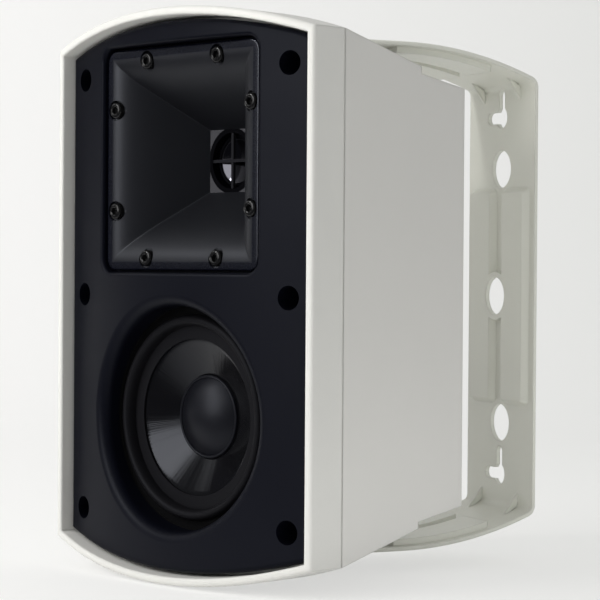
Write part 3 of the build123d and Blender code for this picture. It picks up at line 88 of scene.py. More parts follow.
class Sock:
    """A shader socket that takes part in Python arithmetic."""

    def __init__(self, graph: "Graph", socket: Optional[bpy.types.NodeSocket]) -> None:
        """Wrap a node's output, or None for a node that has none."""
        self.graph = graph
        self.socket = socket

    def _math(self, operation: str, first: "Value", second: "Value") -> "Sock":
        """Result of one Math node."""
        return self.graph.node("ShaderNodeMath", {"operation": operation}, {0: first, 1: second})

    def __add__(self, other: "Value") -> "Sock":
        """Sum of two values."""
        return self._math("ADD", self, other)

    __radd__ = __add__

    def __sub__(self, other: "Value") -> "Sock":
        """Difference of two values."""
        return self._math("SUBTRACT", self, other)

    def __rsub__(self, other: float) -> "Sock":
        """Difference from a number on the left."""
        return self._math("SUBTRACT", other, self)

    def __mul__(self, other: "Value") -> "Sock":
        """Product of two values."""
        return self._math("MULTIPLY", self, other)

    __rmul__ = __mul__

    def __truediv__(self, other: "Value") -> "Sock":
        """Quotient of two values."""
        return self._math("DIVIDE", self, other)

    def __abs__(self) -> "Sock":
        """Size of a value without its sign."""
        return self._math("ABSOLUTE", self, 0.0)

    def at_least(self, other: "Value") -> "Sock":
        """The larger of two values."""
        return self._math("MAXIMUM", self, other)

    def clamped(self) -> "Sock":
        """The value held between 0 and 1."""
        return self._math("MINIMUM", self.at_least(0.0), 1.0)

    def under(self, limit: float, blur: float) -> "Sock":
        """1 where the value is below a limit and 0 above it, with a soft step of a width between."""
        return ((limit - self) / blur + 0.5).clamped()

    def swing(self, width: float) -> "Sock":
        """A value from 0 to 1 as one that swings about 0 over a width."""
        return (self - 0.5) * width


Value = Union[Sock, float]


class Graph:
    """A node tree, with one way of adding any node."""

    def __init__(self, owner: Union[bpy.types.Material, bpy.types.World]) -> None:
        """Start with an empty tree.

        Args:
            owner: The material or world that the tree belongs to.
        """
        self.owner = owner
        owner.use_nodes = True
        self.tree = owner.node_tree
        self.tree.nodes.clear()

    @classmethod
    def named(cls, name: str) -> "Graph":
        """Empty tree of a new material."""
        return cls(bpy.data.materials.new(name))

    def node(
        self,
        kind: str,
        settings: Optional[Dict[str, Any]] = None,
        inputs: Optional[Dict[Union[int, str], Any]] = None,
        output: Union[int, str] = 0,
    ) -> Sock:
        """Add a node, set it up and link it.

        Args:
            kind: The node's Blender type.
            settings: Properties of the node, set first.
            inputs: Values or wrapped sockets by input name or index.
            output: The output that is returned.

        Returns:
            The chosen output.
        """
        made = self.tree.nodes.new(kind)
        for key, value in (settings or {}).items():
            setattr(made, key, value)
        for key, value in (inputs or {}).items():
            if isinstance(value, Sock):
                self.tree.links.new(value.socket, made.inputs[key])
            else:
                made.inputs[key].default_value = value
        return Sock(self, made.outputs[output] if len(made.outputs) else None)

    def place(self) -> Sock:
        """Position on the piece at rest, in metres."""
        return self.node("ShaderNodeTexCoord", output="Object")

    def noise(self, size: float, detail: float = 2.0, stretch: Point = EVEN) -> Sock:
        """Smooth noise with patches of a size in metres, and a scale along each axis for streaks."""
        where = self.node("ShaderNodeMapping", None, {"Vector": self.place(), "Scale": stretch})
        return self.flecks(where, 1.0 / size, detail)

    def flecks(self, where: Sock, scale: float, detail: float = 2.0) -> Sock:
        """Smooth noise at a place, from 0 to 1."""
        return self.node("ShaderNodeTexNoise", None, {"Vector": where, "Scale": scale, "Detail": detail})

    def blend(self, factor: Value, first: Any, second: Any) -> Sock:
        """Mix of two colours, which are a Mix node's inputs 6 and 7 and its output 2."""
        low, high = (side if isinstance(side, Sock) else (*side, 1.0) for side in (first, second))
        return self.node("ShaderNodeMix", {"data_type": "RGBA"}, {0: factor, 6: low, 7: high}, 2)

    def bump(self, height: Value, depth: float, strength: float = 1.0, soften: float = 0.0) -> Sock:
        """Bumped normal from a height.

        Args:
            height: Height from 0 to 1.
            depth: What 1 stands for, in metres.
            strength: How much of the bump shows.
            soften: Radius in metres over which crisp edges catch the light.

        Returns:
            A normal.
        """
        inputs: Dict[Union[int, str], Any] = {"Height": height, "Distance": depth, "Strength": strength}
        if soften:
            inputs["Normal"] = self.node("ShaderNodeBevel", {"samples": BEVEL_SAMPLES}, {"Radius": soften})
        return self.node("ShaderNodeBump", None, inputs)

    def surface(self, inputs: Dict[str, Any]) -> bpy.types.Material:
        """Close the tree with one Principled shader.

        Args:
            inputs: The shader's values and links by name.

        Returns:
            The finished material.
        """
        shader = self.node("ShaderNodeBsdfPrincipled", None, inputs)
        self.node("ShaderNodeOutputMaterial", None, {"Surface": shader})
        return self.owner

    def vector(self, operation: str, first: Any, second: Any = RIGHT, output: str = "Vector") -> Sock:
        """Result of one Vector Math node, which has no use for the second vector in some operations."""
        settings = {"operation": operation}
        return self.node("ShaderNodeVectorMath", settings, {0: first, 1: second}, output)

    def along(self, vector: Sock, direction: Point) -> Sock:
        """How far a vector reaches along a direction."""
        return self.vector("DOT_PRODUCT", vector, direction, "Value")

    def from_middle(self, node: str) -> Sock:
        """Offset from a CAD node's centre, in metres."""
        return self.vector("SUBTRACT", self.place(), tuple(middle_of(node)))

    def from_axis(self, node: str) -> Sock:
        """Offset from a CAD node's front-to-back axis, in metres."""
        return self.vector("MULTIPLY", self.from_middle(node), OFF_AXIS)

    def seen(self) -> Sock:
        """1 for rays that show the backdrop to the camera, to gloss and through glass."""
        rays = ("Is Camera Ray", "Is Glossy Ray", "Is Transmission Ray")
        camera, gloss, glass = (self.node("ShaderNodeLightPath", output=ray) for ray in rays)
        return (camera + gloss + glass).clamped()


@dataclass(frozen=True)
class Coat:
    """What every finish states, and how its colour varies."""

    name: str
    colour: Colour
    roughness: float

    def toned(self, graph: Graph, tone: Sock, dark: float, light: float = 1.0) -> Sock:
        """The colour from a darker to a lighter share of it, by a tone."""
        low, high = (tuple(min(1.0, part * share) for part in self.colour) for share in (dark, light))
        return graph.blend(tone, low, high)


@dataclass(frozen=True)
class Moulding(Coat):
    """Moulded plastic with a fine grain and faint cloudy mottling, with lengths in millimetres."""

    specular: float = 0.5
    grain: float = 0.5
    depth: float = 0.012
    mottle: float = 0.12
    soften: float = 0.0
    gloss_tint: Colour = WHITE
    cloud: float = 26.0
    cloud_share: float = 0.7
    cloud_gloss: float = 0.12
    grain_gloss: float = 0.1

    def zoned(self, graph: Graph, colour: Sock) -> Tuple[Sock, Value]:
        """Colour and roughness, which are the same all over."""
        return colour, self.roughness

    def make(self) -> bpy.types.Material:
        """Build the material.

        Returns:
            The finished material.
        """
        graph = Graph.named(self.name)
        cloud = graph.noise(self.cloud * MM, 3.0)
        speck = graph.noise(self.grain * MM)
        tone = (cloud * self.cloud_share + speck * (1 - self.cloud_share)).clamped()
        mottled = self.toned(graph, tone, 1 - self.mottle, 1 + self.mottle)
        colour, roughness = self.zoned(graph, mottled)
        return graph.surface(
            {
                "Base Color": colour,
                "Roughness": cloud.swing(self.cloud_gloss) + speck.swing(self.grain_gloss) + roughness,
                "Specular IOR Level": self.specular,
                "Specular Tint": (*self.gloss_tint, 1.0),
                "Normal": graph.bump(speck, self.depth * MM, 1.0, self.soften * MM),
            }
        )


@dataclass(frozen=True)
class FlangedMoulding(Moulding):
    """Moulded plastic with a smoother flat band beyond a square mouth."""

    band_colour: Colour = DEEP_BLACK
    band_roughness: float = 0.27
    mouth: float = 42.2
    fade: float = 0.8
    node: str = "horn"

    def zoned(self, graph: Graph, colour: Sock) -> Tuple[Sock, Value]:
        """Set the band off from the walls.

        Args:
            graph: The material's tree.
            colour: Colour of the walls.

        Returns:
            The colour and the roughness all over.
        """
        offset = graph.from_middle(self.node)
        reach = abs(graph.along(offset, RIGHT)).at_least(abs(graph.along(offset, UP)))
        band = ((reach - self.mouth * MM) / (self.fade * MM)).clamped()
        roughness = self.roughness + band * (self.band_roughness - self.roughness)
        return graph.blend(band, colour, self.band_colour), roughness


@dataclass(frozen=True)
class SpunFilm(Coat):
    """Glossy pressed plastic with faint radial flow lines round a node's axis."""

    specular: float
    node: str
    broad: float = 9.0
    fine: float = 55.0
    speck: float = 0.3
    flow_share: float = 0.8
    flow_gloss: float = 0.22
    ridge: float = 0.25
    ridge_share: float = 0.35
    dark_share: float = 0.75
    light_share: float = 1.3

    def make(self) -> bpy.types.Material:
        """Build the material.

        Returns:
            The finished material.
        """
        graph = Graph.named(self.name)
        spoke = graph.vector("NORMALIZE", graph.from_axis(self.node))
        flow = ((graph.flecks(spoke, self.broad) + graph.flecks(spoke, self.fine)) * 0.5).clamped()
        speck = graph.noise(self.speck * MM)
        tone = (flow * self.flow_share + speck * (1 - self.flow_share)).clamped()
        return graph.surface(
            {
                "Base Color": self.toned(graph, tone, self.dark_share, self.light_share),
                "Roughness": flow.swing(self.flow_gloss) + self.roughness,
                "Specular IOR Level": self.specular,
                "Specular Tint": (*BLUE_SHEEN, 1.0),
                "Normal": graph.bump(flow, self.ridge * MM, self.ridge_share),
            }
        )


@dataclass(frozen=True)
class BoredPlate(Coat):
    """Satin plate with painted shade: black in and over its bore, standing in for the shade down the throat,
    with a greyer cross of two bars.
    """

    node: str
    # Radius of the painted shade over the bore.
    bore: float = 13.9 * MM
    bar_colour: Colour = (0.016, 0.016, 0.019)
    bar: float = 0.7 * MM
    bar_end: float = 11.6 * MM
    blur: float = 0.125 * MM
    speck: float = 0.4 * MM
    speck_depth: float = 0.01 * MM
    speck_gloss: float = 0.15
    dark_share: float = 0.85
    specular: float = 0.02

    def make(self) -> bpy.types.Material:
        """Build the material.

        Returns:
            The finished material.
        """
        graph = Graph.named(self.name)
        offset = graph.from_axis(self.node)
        radius = graph.vector("LENGTH", offset, output="Value")
        bars = [abs(graph.along(offset, way)).under(self.bar, self.blur) for way in (RIGHT, UP)]
        cross = bars[0].at_least(bars[1]) * radius.under(self.bar_end, self.blur)
        # Painted shade: the bore is painted deep black, apart from the cross bars, for the shade inside the
        # throat.
        painted_bore_shade = graph.blend(cross, DEEP_BLACK, self.bar_colour)
        speck = graph.noise(self.speck)
        plate = self.toned(graph, speck, self.dark_share)
        return graph.surface(
            {
                "Base Color": graph.blend(radius.under(self.bore, self.blur), plate, painted_bore_shade),
                "Roughness": speck.swing(self.speck_gloss) + self.roughness,
                "Specular IOR Level": self.specular,
                "Normal": graph.bump(speck, self.speck_depth),
            }
        )


@dataclass(frozen=True)
class DishFoil(Coat):
    """Polished foil dish with a black suspension ring beyond its edge."""

    node: str
    edge: float = 9.2 * MM
    blur: float = 0.25 * MM
    speck: float = 0.8 * MM
    speck_depth: float = 0.004 * MM
    speck_gloss: float = 0.06
    dull_share: float = 0.85
    ring_dullness: float = 0.4
    specular: float = 0.02

    def make(self) -> bpy.types.Material:
        """Build the material.

        Returns:
            The finished material.
        """
        graph = Graph.named(self.name)
        radius = graph.vector("LENGTH", graph.from_axis(self.node), output="Value")
        dish = radius.under(self.edge, self.blur)
        speck = graph.noise(self.speck)
        foil = self.toned(graph, speck, self.dull_share)
        return graph.surface(
            {
                "Base Color": graph.blend(dish, DEEP_BLACK, foil),
                "Roughness": speck.swing(self.speck_gloss) + self.roughness + (1 - dish) * self.ring_dullness,
                "Metallic": dish,
                "Specular IOR Level": self.specular,
                "Normal": graph.bump(speck, self.speck_depth),
            }
        )


@dataclass(frozen=True)
class Metal(Coat):
    """Plated, turned or sintered metal with fine streaks."""

    metallic: float = 1.0
    streak: Point = EVEN
    cloud: float = 9.0 * MM
    cloud_share: float = 0.6
    fine: float = 0.5 * MM
    fine_depth: float = 0.008 * MM
    fine_gloss: float = 0.2
    dull_share: float = 0.78

    def make(self) -> bpy.types.Material:
        """Build the material.

        Returns:
            The finished material.
        """
        graph = Graph.named(self.name)
        cloud = graph.noise(self.cloud, 3.0)
        fine = graph.noise(self.fine, 2.0, self.streak)
        tone = (cloud * self.cloud_share + fine * (1 - self.cloud_share)).clamped()
        return graph.surface(
            {
                "Base Color": self.toned(graph, tone, self.dull_share),
                "Roughness": fine.swing(self.fine_gloss) + self.roughness,
                "Metallic": self.metallic,
                "Normal": graph.bump(fine, self.fine_depth),
            }
        )


class Finish(Enum):
    """Every finish on the speaker, named as the record's slots are."""

    CABINET = Moulding(
        "white_cabinet", (0.79, 0.788, 0.76), roughness=0.5, specular=0.4, mottle=0.02, soften=1.2
    )
    # Painted shade: a darker copy of the cabinet white for the rear shell, standing in for the shade on its
    # side.
    SHADED_SHELL = Moulding(
        "white_shell", (0.769, 0.762, 0.738), roughness=0.5, specular=0.4, mottle=0.02, soften=1.2
    )
    BRACKET = Moulding(
        "white_bracket", (0.865, 0.872, 0.80), roughness=0.45, grain=0.6, mottle=0.025, soften=1.0
    )
    BAFFLE = Moulding(
        "black_baffle", (0.0022, 0.0026, 0.0062), roughness=0.46, specular=0.12, grain=0.4, depth=0.02,
        gloss_tint=BLUE_SHEEN,
    )
    HORN = FlangedMoulding(
        "black_horn", (0.0026, 0.0028, 0.0044), roughness=0.48, specular=0.55, grain=0.35, depth=0.01,
        gloss_tint=BLUE_SHEEN, cloud_gloss=0.08, band_colour=(0.0018, 0.0022, 0.0062),
    )
    GUARD = BoredPlate("black_guard", (0.066, 0.066, 0.074), roughness=0.5, node="throat_plate")
    CUP = Moulding(
        "black_cup", (0.012, 0.012, 0.012), roughness=0.5, specular=0.4, grain=0.4, depth=0.02,
        mottle=0.1, soften=0.6,
    )
    RUBBER = Moulding(
        "seal_rubber", (0.008, 0.008, 0.008), roughness=0.75, specular=0.12, grain=0.3, depth=0.02
    )
    SEAM = Moulding(
        "seam_rubber", (0.46, 0.455, 0.44), roughness=0.7, specular=0.3, grain=0.3, depth=0.01,
        mottle=0.08,
    )
    SURROUND = Moulding(
        "surround_rubber", (0.0055, 0.0052, 0.0064), roughness=0.58, specular=0.125, grain=0.25,
        gloss_tint=BLUE_SHEEN,
    )
    CONE = SpunFilm(
        "cone_plastic", (0.0038, 0.0038, 0.0046), roughness=0.13, specular=0.25, node="woofer_cone"
    )
    DUST_CAP = Moulding(
        "cap_plastic", (0.0044, 0.0046, 0.0072), roughness=0.42, specular=0.23, grain=0.25, depth=0.008,
        mottle=0.1, gloss_tint=BLUE_SHEEN,
    )
    SPIDER = Moulding(
        "spider_cloth", (0.52, 0.36, 0.10), roughness=0.8, specular=0.2, depth=0.06, mottle=0.15
    )
    FORMER = Moulding("former_film", (0.20, 0.12, 0.04), roughness=0.4, depth=0.005, mottle=0.08)
    COPPER = Metal("copper_wire", (0.72, 0.33, 0.18), roughness=0.3, streak=(1.0, 6.0, 1.0))
    DIAPHRAGM = DishFoil(
        "diaphragm_metal", (0.052, 0.052, 0.060), roughness=0.10, node="tweeter_diaphragm"
    )
    BLACK_STEEL = Metal("black_steel", (0.014, 0.014, 0.015), roughness=0.22, metallic=0.5)
    FRAME_STEEL = Moulding(
        "frame_steel", (0.003, 0.003, 0.0035), roughness=0.6, specular=0.05, depth=0.01
    )
    ZINC = Metal("zinc_steel", (0.62, 0.62, 0.60), roughness=0.35)
    FERRITE = Metal("ferrite", (0.06, 0.06, 0.065), roughness=0.6, metallic=0.2)
    BOARD = Moulding(
        "board_laminate", (0.03, 0.14, 0.045), roughness=0.35, grain=0.8, depth=0.01, mottle=0.15
    )
    CAPACITOR = Moulding(
        "capacitor_sleeve", (0.02, 0.03, 0.10), roughness=0.25, grain=0.8, depth=0.005, mottle=0.08
    )
    RESISTOR = Moulding(
        "resistor_ceramic", (0.66, 0.62, 0.54), roughness=0.8, specular=0.3, grain=0.4, depth=0.02,
        mottle=0.06,
    )
    BRASS = Metal("brass", (0.75, 0.55, 0.25), roughness=0.28)
    RED_CAP = Moulding(
        "red_cap", (0.42, 0.012, 0.010), roughness=0.3, grain=0.6, depth=0.004, mottle=0.06
    )
    BLACK_CAP = Moulding(
        "black_cap", (0.010, 0.010, 0.010), roughness=0.3, grain=0.6, depth=0.004, mottle=0.08
    )
    KNOB = Moulding("knob_plastic", (0.76, 0.77, 0.72), roughness=0.45, mottle=0.02, soften=0.8)


# The rear shell takes the darker, painted-shade copy of the cabinet white.
OWN_FINISH = {"cabinet_seal": Finish.SEAM, "rear_shell": Finish.SHADED_SHELL}


class Paint:
    """Makes each finish once and hands it out by record slot."""

    def __init__(self) -> None:
        """Make the material of every finish."""
        self.made = {finish: finish.value.make() for finish in Finish}

    def dress(self, thing: bpy.types.Object, finish: Finish) -> None:
        """Give an object one finish all over."""
        thing.data.materials.clear()
        thing.data.materials.append(self.made[finish])

    def dress_frame(self) -> None:
        """Give every CAD node the finish of its record slot, or one of its own where it differs."""
        slots = {part["node"]: part["material_slot"] for part in frame["record"]["subparts"]}
        finishes = {finish.value.name: finish for finish in Finish}
        for name, thing in frame["nodes"].items():
            finish = OWN_FINISH.get(name, finishes[slots[name]])
            self.dress(thing, finish)
            LOG.info("dressed %s as %s", name, finish.value.name)


def placed(name: str, data: bpy.types.ID) -> bpy.types.Object:
    """New object that is linked into the scene."""
    thing = bpy.data.objects.new(name, data)
    bpy.context.scene.collection.objects.link(thing)
    return thing


class Shop:
    """Makes mesh pieces, dresses them and sets them on their bodies."""

    def __init__(self, paint: Paint) -> None:
        """Keep the finishes at hand."""
        self.paint = paint

    def piece(
        self, name: str, skin: Skin, finish: Finish, body: Optional[Body], crease: float = 40.0
    ) -> bpy.types.Object:
        """Make one dressed piece.

        Args:
            name: The piece's name.
            skin: Corners in metres, and the corner numbers of each face.
            finish: Its finish.
            body: The body that it rides on, or None for a piece that the caller attaches or leaves free.
            crease: Angle in degrees above which an edge stays crisp.

        Returns:
            The piece.
        """
        points, faces = skin
        mesh = bpy.data.meshes.new(name)
        mesh.from_pydata(points, [], faces)
        work = bmesh.new()
        work.from_mesh(mesh)
        bmesh.ops.remove_doubles(work, verts=work.verts, dist=WELD)
        bmesh.ops.recalc_face_normals(work, faces=work.faces)
        work.to_mesh(mesh)
        work.free()
        mesh.shade_smooth()
        mesh.set_sharp_from_angle(angle=math.radians(crease))
        thing = placed(name, mesh)
        self.paint.dress(thing, finish)
        if body is not None:
            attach(thing, body.value)
        LOG.info("made %s with %d faces", name, len(mesh.polygons))
        return thing


def skinned(rings: Sequence[Sequence[Point]], closed: bool) -> Skin:
    """Skin over rings that all have as many points.

    Args:
        rings: The rings in order.
        closed: Whether the last ring joins the first.

    Returns:
        The corners and the faces.
    """
    size = len(rings[0])
    faces: List[List[int]] = []
    for low in range(len(rings) if closed else len(rings) - 1):
        first, second = low * size, (low + 1) % len(rings) * size
        for step in range(size):
            after = (step + 1) % size
            faces.append([first + step, first + after, second + after, second + step])
    return [point for ring in rings for point in ring], faces


def gathered(skins: Sequence[Skin]) -> Skin:
    """Several skins as one."""
    points: List[Point] = []
    faces: List[List[int]] = []
    for more, sides in skins:
        faces += [[corner + len(points) for corner in side] for side in sides]
        points += more
    return points, faces


def around(centre: Pair, radius: float, angle: float, depth: float) -> Point:
    """Point at an angle round a front-to-back axis."""
    return (centre[0] + radius * math.cos(angle), depth, centre[1] + radius * math.sin(angle))


def turned(profile: Sequence[Pair], centre: Pair, steps: int) -> Skin:
    """Closed profile turned about a front-to-back axis.

    Args:
        profile: (radius, y) pairs round the section.
        centre: x and z of the axis.
        steps: Facets round the axis.

    Returns:
        The corners and the faces.
    """
    count = len(profile)
    points: List[Point] = []
    faces: List[List[int]] = []
    on_axis = [radius < WELD for radius, _ in profile]
    for step in range(steps):
        points += [around(centre, radius, math.tau * step / steps, depth) for radius, depth in profile]
        here, there = step * count, (step + 1) % steps * count
        for low in range(count):
            high = (low + 1) % count
            if on_axis[low] and on_axis[high]:
                continue
            ring = [here + low, here + high]
            ring += [] if on_axis[high] else [there + high]
            ring += [] if on_axis[low] else [there + low]
            faces.append(ring)
    return points, faces


def arc(middle: Pair, radii: Pair, start: float, end: float, steps: int) -> List[Pair]:
    """Points along an ellipse from a start angle to an end angle in degrees, both ends included."""
    angles = [math.radians(start + (end - start) * step / steps) for step in range(steps + 1)]
    return [(middle[0] + radii[0] * math.cos(a), middle[1] + radii[1] * math.sin(a)) for a in angles]


def bent(first: Pair, pull: Pair, last: Pair, steps: int) -> List[Pair]:
    """Points along a curve that leaves its first and reaches its last point on lines from a pull point."""
    shares = [step / steps for step in range(steps + 1)]
    return [
        tuple((1 - t) ** 2 * a + 2 * t * (1 - t) * b + t**2 * c for a, b, c in zip(first, pull, last))
        for t in shares
    ]


def line(first: Pair, last: Pair, steps: int) -> List[Pair]:
    """Points along a straight line, both ends included."""
    shares = [step / steps for step in range(steps + 1)]
    return [tuple(a + (b - a) * share for a, b in zip(first, last)) for share in shares]


def corners_of(node: str) -> Tuple[Vector, Vector]:
    """Lowest and highest corner of a CAD node at rest."""
    low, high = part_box(node)
    return Vector(low), Vector(high)


def middle_of(node: str) -> Vector:
    """Centre of a CAD node."""
    low, high = corners_of(node)
    return (low + high) / 2


def axis_of(node: str) -> Pair:
    """x and z of a CAD node's front-to-back axis."""
    middle = middle_of(node)
    return (middle.x, middle.z)


def radius_of(node: str) -> float:
    """Half of a CAD node's width."""
    low, high = corners_of(node)
    return (high.x - low.x) / 2


@dataclass
class HexScrew:
    """Black pan-head screw with a hexagon socket, with its head towards the front."""

    radius: float
    height: float
    seat: float
    tip: float
    shank: float
    crown: Pair = (0.42, 0.36)
    crown_steps: int = 6
    socket: float = 0.43
    socket_rows: Tuple[Pair, ...] = ((0.05, 1.12), (0.10, 1.0), (0.62, 0.97))
    socket_floor: float = 0.7
    steps: int = 48
    flat: float = 60.0

    def hexagon(self, angle: float, spin: float) -> float:
        """Distance from the axis to the socket's wall at an angle, for a turn of the socket in degrees."""
        from_flat = (math.degrees(angle) - spin) % self.flat - self.flat / 2
        return self.socket * self.radius / math.cos(math.radians(from_flat))

    def mesh(self, centre: Pair, spin: float) -> Skin:
        """One screw.

        Args:
            centre: x and z of its axis.
            spin: Turn of its socket in degrees.

        Returns:
            The corners and the faces.
        """
        top = self.seat - self.height
        width, drop = self.crown[0] * self.radius, self.crown[1] * self.height
        rows = [(self.shank, self.tip), (self.shank, self.seat), (self.radius, self.seat)]
        rows += arc((self.radius - width, top + drop), (width, drop), 0, -90, self.crown_steps)
        angles = [math.tau * step / self.steps for step in range(self.steps)]
        rings = [[around(centre, radius, angle, depth) for angle in angles] for radius, depth in rows]
        for sunk, share in self.socket_rows:
            depth = top + sunk * self.height
            rings.append([around(centre, share * self.hexagon(a, spin), a, depth) for a in angles])
        points, faces = skinned(rings, False)
        last, tip = len(points) - self.steps, len(points)
        points.append((centre[0], self.tip, centre[1]))
        points.append((centre[0], top + self.socket_floor * self.height, centre[1]))
        for step in range(self.steps):
            after = (step + 1) % self.steps
            faces += [[tip, after, step], [last + step, last + after, tip + 1]]
        return points, faces


@dataclass
class HornTweeter:
    """Square flared horn, its screws and the diaphragm behind its throat."""

    shop: Shop
    band: float = 3.7 * MM
    edge_round: float = 0.8 * MM
    edge_steps: int = 5
    corner_round: float = 5.0 * MM
    corner_steps: int = 6
    side_steps: int = 44
    flange: float = 3.2 * MM
    roll_depth: float = 14.0 * MM
    roll_steps: int = 14
    wall_start: float = 36.2 * MM
    wall_steps: int = 12
    wall: float = 2.2 * MM
    throat: float = 13.2 * MM
    mouth_crease: float = 0.4 * MM
    throat_crease: float = 0.3 * MM
    body_corner: float = 2.0 * MM
    throat_corner: float = 1.0 * MM
    crisp: float = 38.0
    screw_edge: float = 5.1 * MM
    screw_along: float = 21.3 * MM
    screw_sink: float = 2.1 * MM
    screw_head: float = 3.4 * MM
    screw_shank: float = 1.75 * MM
    screw_crown: float = 0.5 * MM
    screw_spin: float = 17.0
    well: float = 4.2 * MM
    well_steps: int = 40
    well_clear: float = 4.0 * MM
    foil: float = 0.6 * MM
    dish: float = 9.6 * MM
    dish_depth: float = 2.1 * MM
    dish_steps: int = 16
    rim: Pair = (0.7 * MM, 0.5 * MM)
    rim_foot: float = 1.2 * MM

    def __post_init__(self) -> None:
        """Take the place and size from the frame."""
        self.half = radius_of("horn")
        self.centre = axis_of("horn")
        self.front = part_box("horn")[0][1]
        self.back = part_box("horn_right_wall")[1][1]
        self.screw_seat = self.front + self.screw_sink

    def square(self, half: float, depth: float, corner: float) -> List[Point]:
        """One rounded square across the horn.

        Args:
            half: Half its side.
            depth: Its y.
            corner: Radius of its corners.

        Returns:
            Its points, all the way round.
        """
        flat = half - corner
        signs = ((1, 1), (-1, 1), (-1, -1), (1, -1))
        outline: List[Pair] = []
        for quarter, sign in enumerate(signs):
            following = signs[(quarter + 1) % len(signs)]
            middle = (sign[0] * flat, sign[1] * flat)
            outline += arc(middle, (corner, corner), 90 * quarter, 90 * (quarter + 1), self.corner_steps)
            x, z = outline[-1]
            ahead = (x + (following[0] - sign[0]) * flat, z + (following[1] - sign[1]) * flat)
            outline += line((x, z), ahead, self.side_steps)[1:-1]
        return [(self.centre[0] + x, depth, self.centre[1] + z) for x, z in outline]

    def sections(self) -> List[Point]:
        """Half side, y and corner radius of each section, round the moulding's wall."""
        behind = self.front + self.flange
        depth = self.back - self.front
        slope = (self.wall_start - self.throat) / depth
        outside = self.wall_start - slope * self.flange + self.wall
        rows = [(outside, behind, self.body_corner), (self.half, behind, self.corner_round)]
        edge = (self.half - self.edge_round, self.front + self.edge_round)
        for x, y in arc(edge, (self.edge_round, self.edge_round), 0, -90, self.edge_steps):
            rows.append((x, y, self.corner_round - self.half + x))
        mouth = self.half - self.band
        end = self.wall_start - slope * self.roll_depth
        inside = bent((mouth, 0.0), (self.wall_start, 0.0), (end, self.roll_depth), self.roll_steps)
        inside += line((end, self.roll_depth), (self.throat, depth), self.wall_steps)[1:]
        rows += [(x, self.front + y, self.crease(x, mouth)) for x, y in inside]
        rows.append((self.throat + self.wall, self.back, self.throat_corner))
        return rows

    def crease(self, half: float, mouth: float) -> float:
        """Radius of the crease between two walls, from half the side of a section and of the mouth."""
        share = (half - self.throat) / (mouth - self.throat)
        return self.throat_crease + (self.mouth_crease - self.throat_crease) * share

    def screw_places(self) -> List[Pair]:
        """x and z of the eight flange screws."""
        out = self.half - self.screw_edge
        pairs = [(out, self.screw_along), (self.screw_along, out)]
        return [
            (self.centre[0] + side * a, self.centre[1] + rise * b)
            for a, b in pairs
            for side in (-1, 1)
            for rise in (-1, 1)
        ]

    def moulding(self) -> None:
        """Make the horn with a soft rolled mouth and the screws' wells."""
        skin = skinned([self.square(*row) for row in self.sections()], True)
        horn = self.shop.piece("horn_moulding", skin, Finish.HORN, None)
        clear = self.front - self.well_clear
        cut = [(0.0, clear), (self.well, clear), (self.well, self.screw_seat), (0.0, self.screw_seat)]
        wells = gathered([turned(cut, place, self.well_steps) for place in self.screw_places()])
        drill = self.shop.piece("horn_drill", wells, Finish.HORN, None)
        cutter = horn.modifiers.new("wells", "BOOLEAN")
        cutter.operation = "DIFFERENCE"
        cutter.object = drill
        cutter.solver = "EXACT"
        fixed = bpy.data.meshes.new_from_object(horn.evaluated_get(bpy.context.evaluated_depsgraph_get()))
        horn.modifiers.clear()
        horn.data = fixed
        bpy.data.objects.remove(drill)
        fixed.set_sharp_from_angle(angle=math.radians(self.crisp))
        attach(horn, Body.CABINET.value)
        walls = (f"horn_{side}_wall" for side in ("right", "top", "left", "bottom"))
        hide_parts("horn", *walls)

    def screws(self) -> None:
        """Make the eight flange screws, each turned a little differently."""
        low, high = corners_of("horn_screws")
        height = self.screw_seat - low.y + self.screw_crown
        screw = HexScrew(self.screw_head, height, self.screw_seat, high.y, self.screw_shank)
        places = enumerate(self.screw_places())
        skin = gathered([screw.mesh(place, self.screw_spin * number) for number, place in places])
        piece = self.shop.piece("horn_screw_set", skin, Finish.BLACK_STEEL, Body.CABINET, crease=35.0)
        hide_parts("horn_screws")

    def diaphragm(self) -> None:
        """Make the diaphragm: a pressed dish inside a raised rim."""
        low, high = corners_of("tweeter_diaphragm")
        clamp = radius_of("tweeter_diaphragm")
        seat = high.y - self.foil
        width, rise = self.rim
        lip = low.y + rise
        foot = self.dish + 2 * width
        shares = (step / self.dish_steps for step in range(self.dish_steps + 1))
        profile = [(self.dish * t, lip + self.dish_depth * (1 - t**2)) for t in shares]
        profile += arc((self.dish + width, lip), self.rim, -180, 0, steps=8)[1:]
        profile += bent(profile[-1], (foot, seat), (foot + self.rim_foot, seat), steps=6)[1:]
        profile += [(clamp, seat), (clamp, high.y), (0.0, high.y)]
        skin = turned(profile, self.centre, steps=96)
        piece = self.shop.piece("tweeter_dish", skin, Finish.DIAPHRAGM, Body.CABINET)
        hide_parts("tweeter_diaphragm")

    def build(self) -> None:
        """Make every piece of the horn."""
        self.moulding()
        self.screws()
        self.diaphragm()


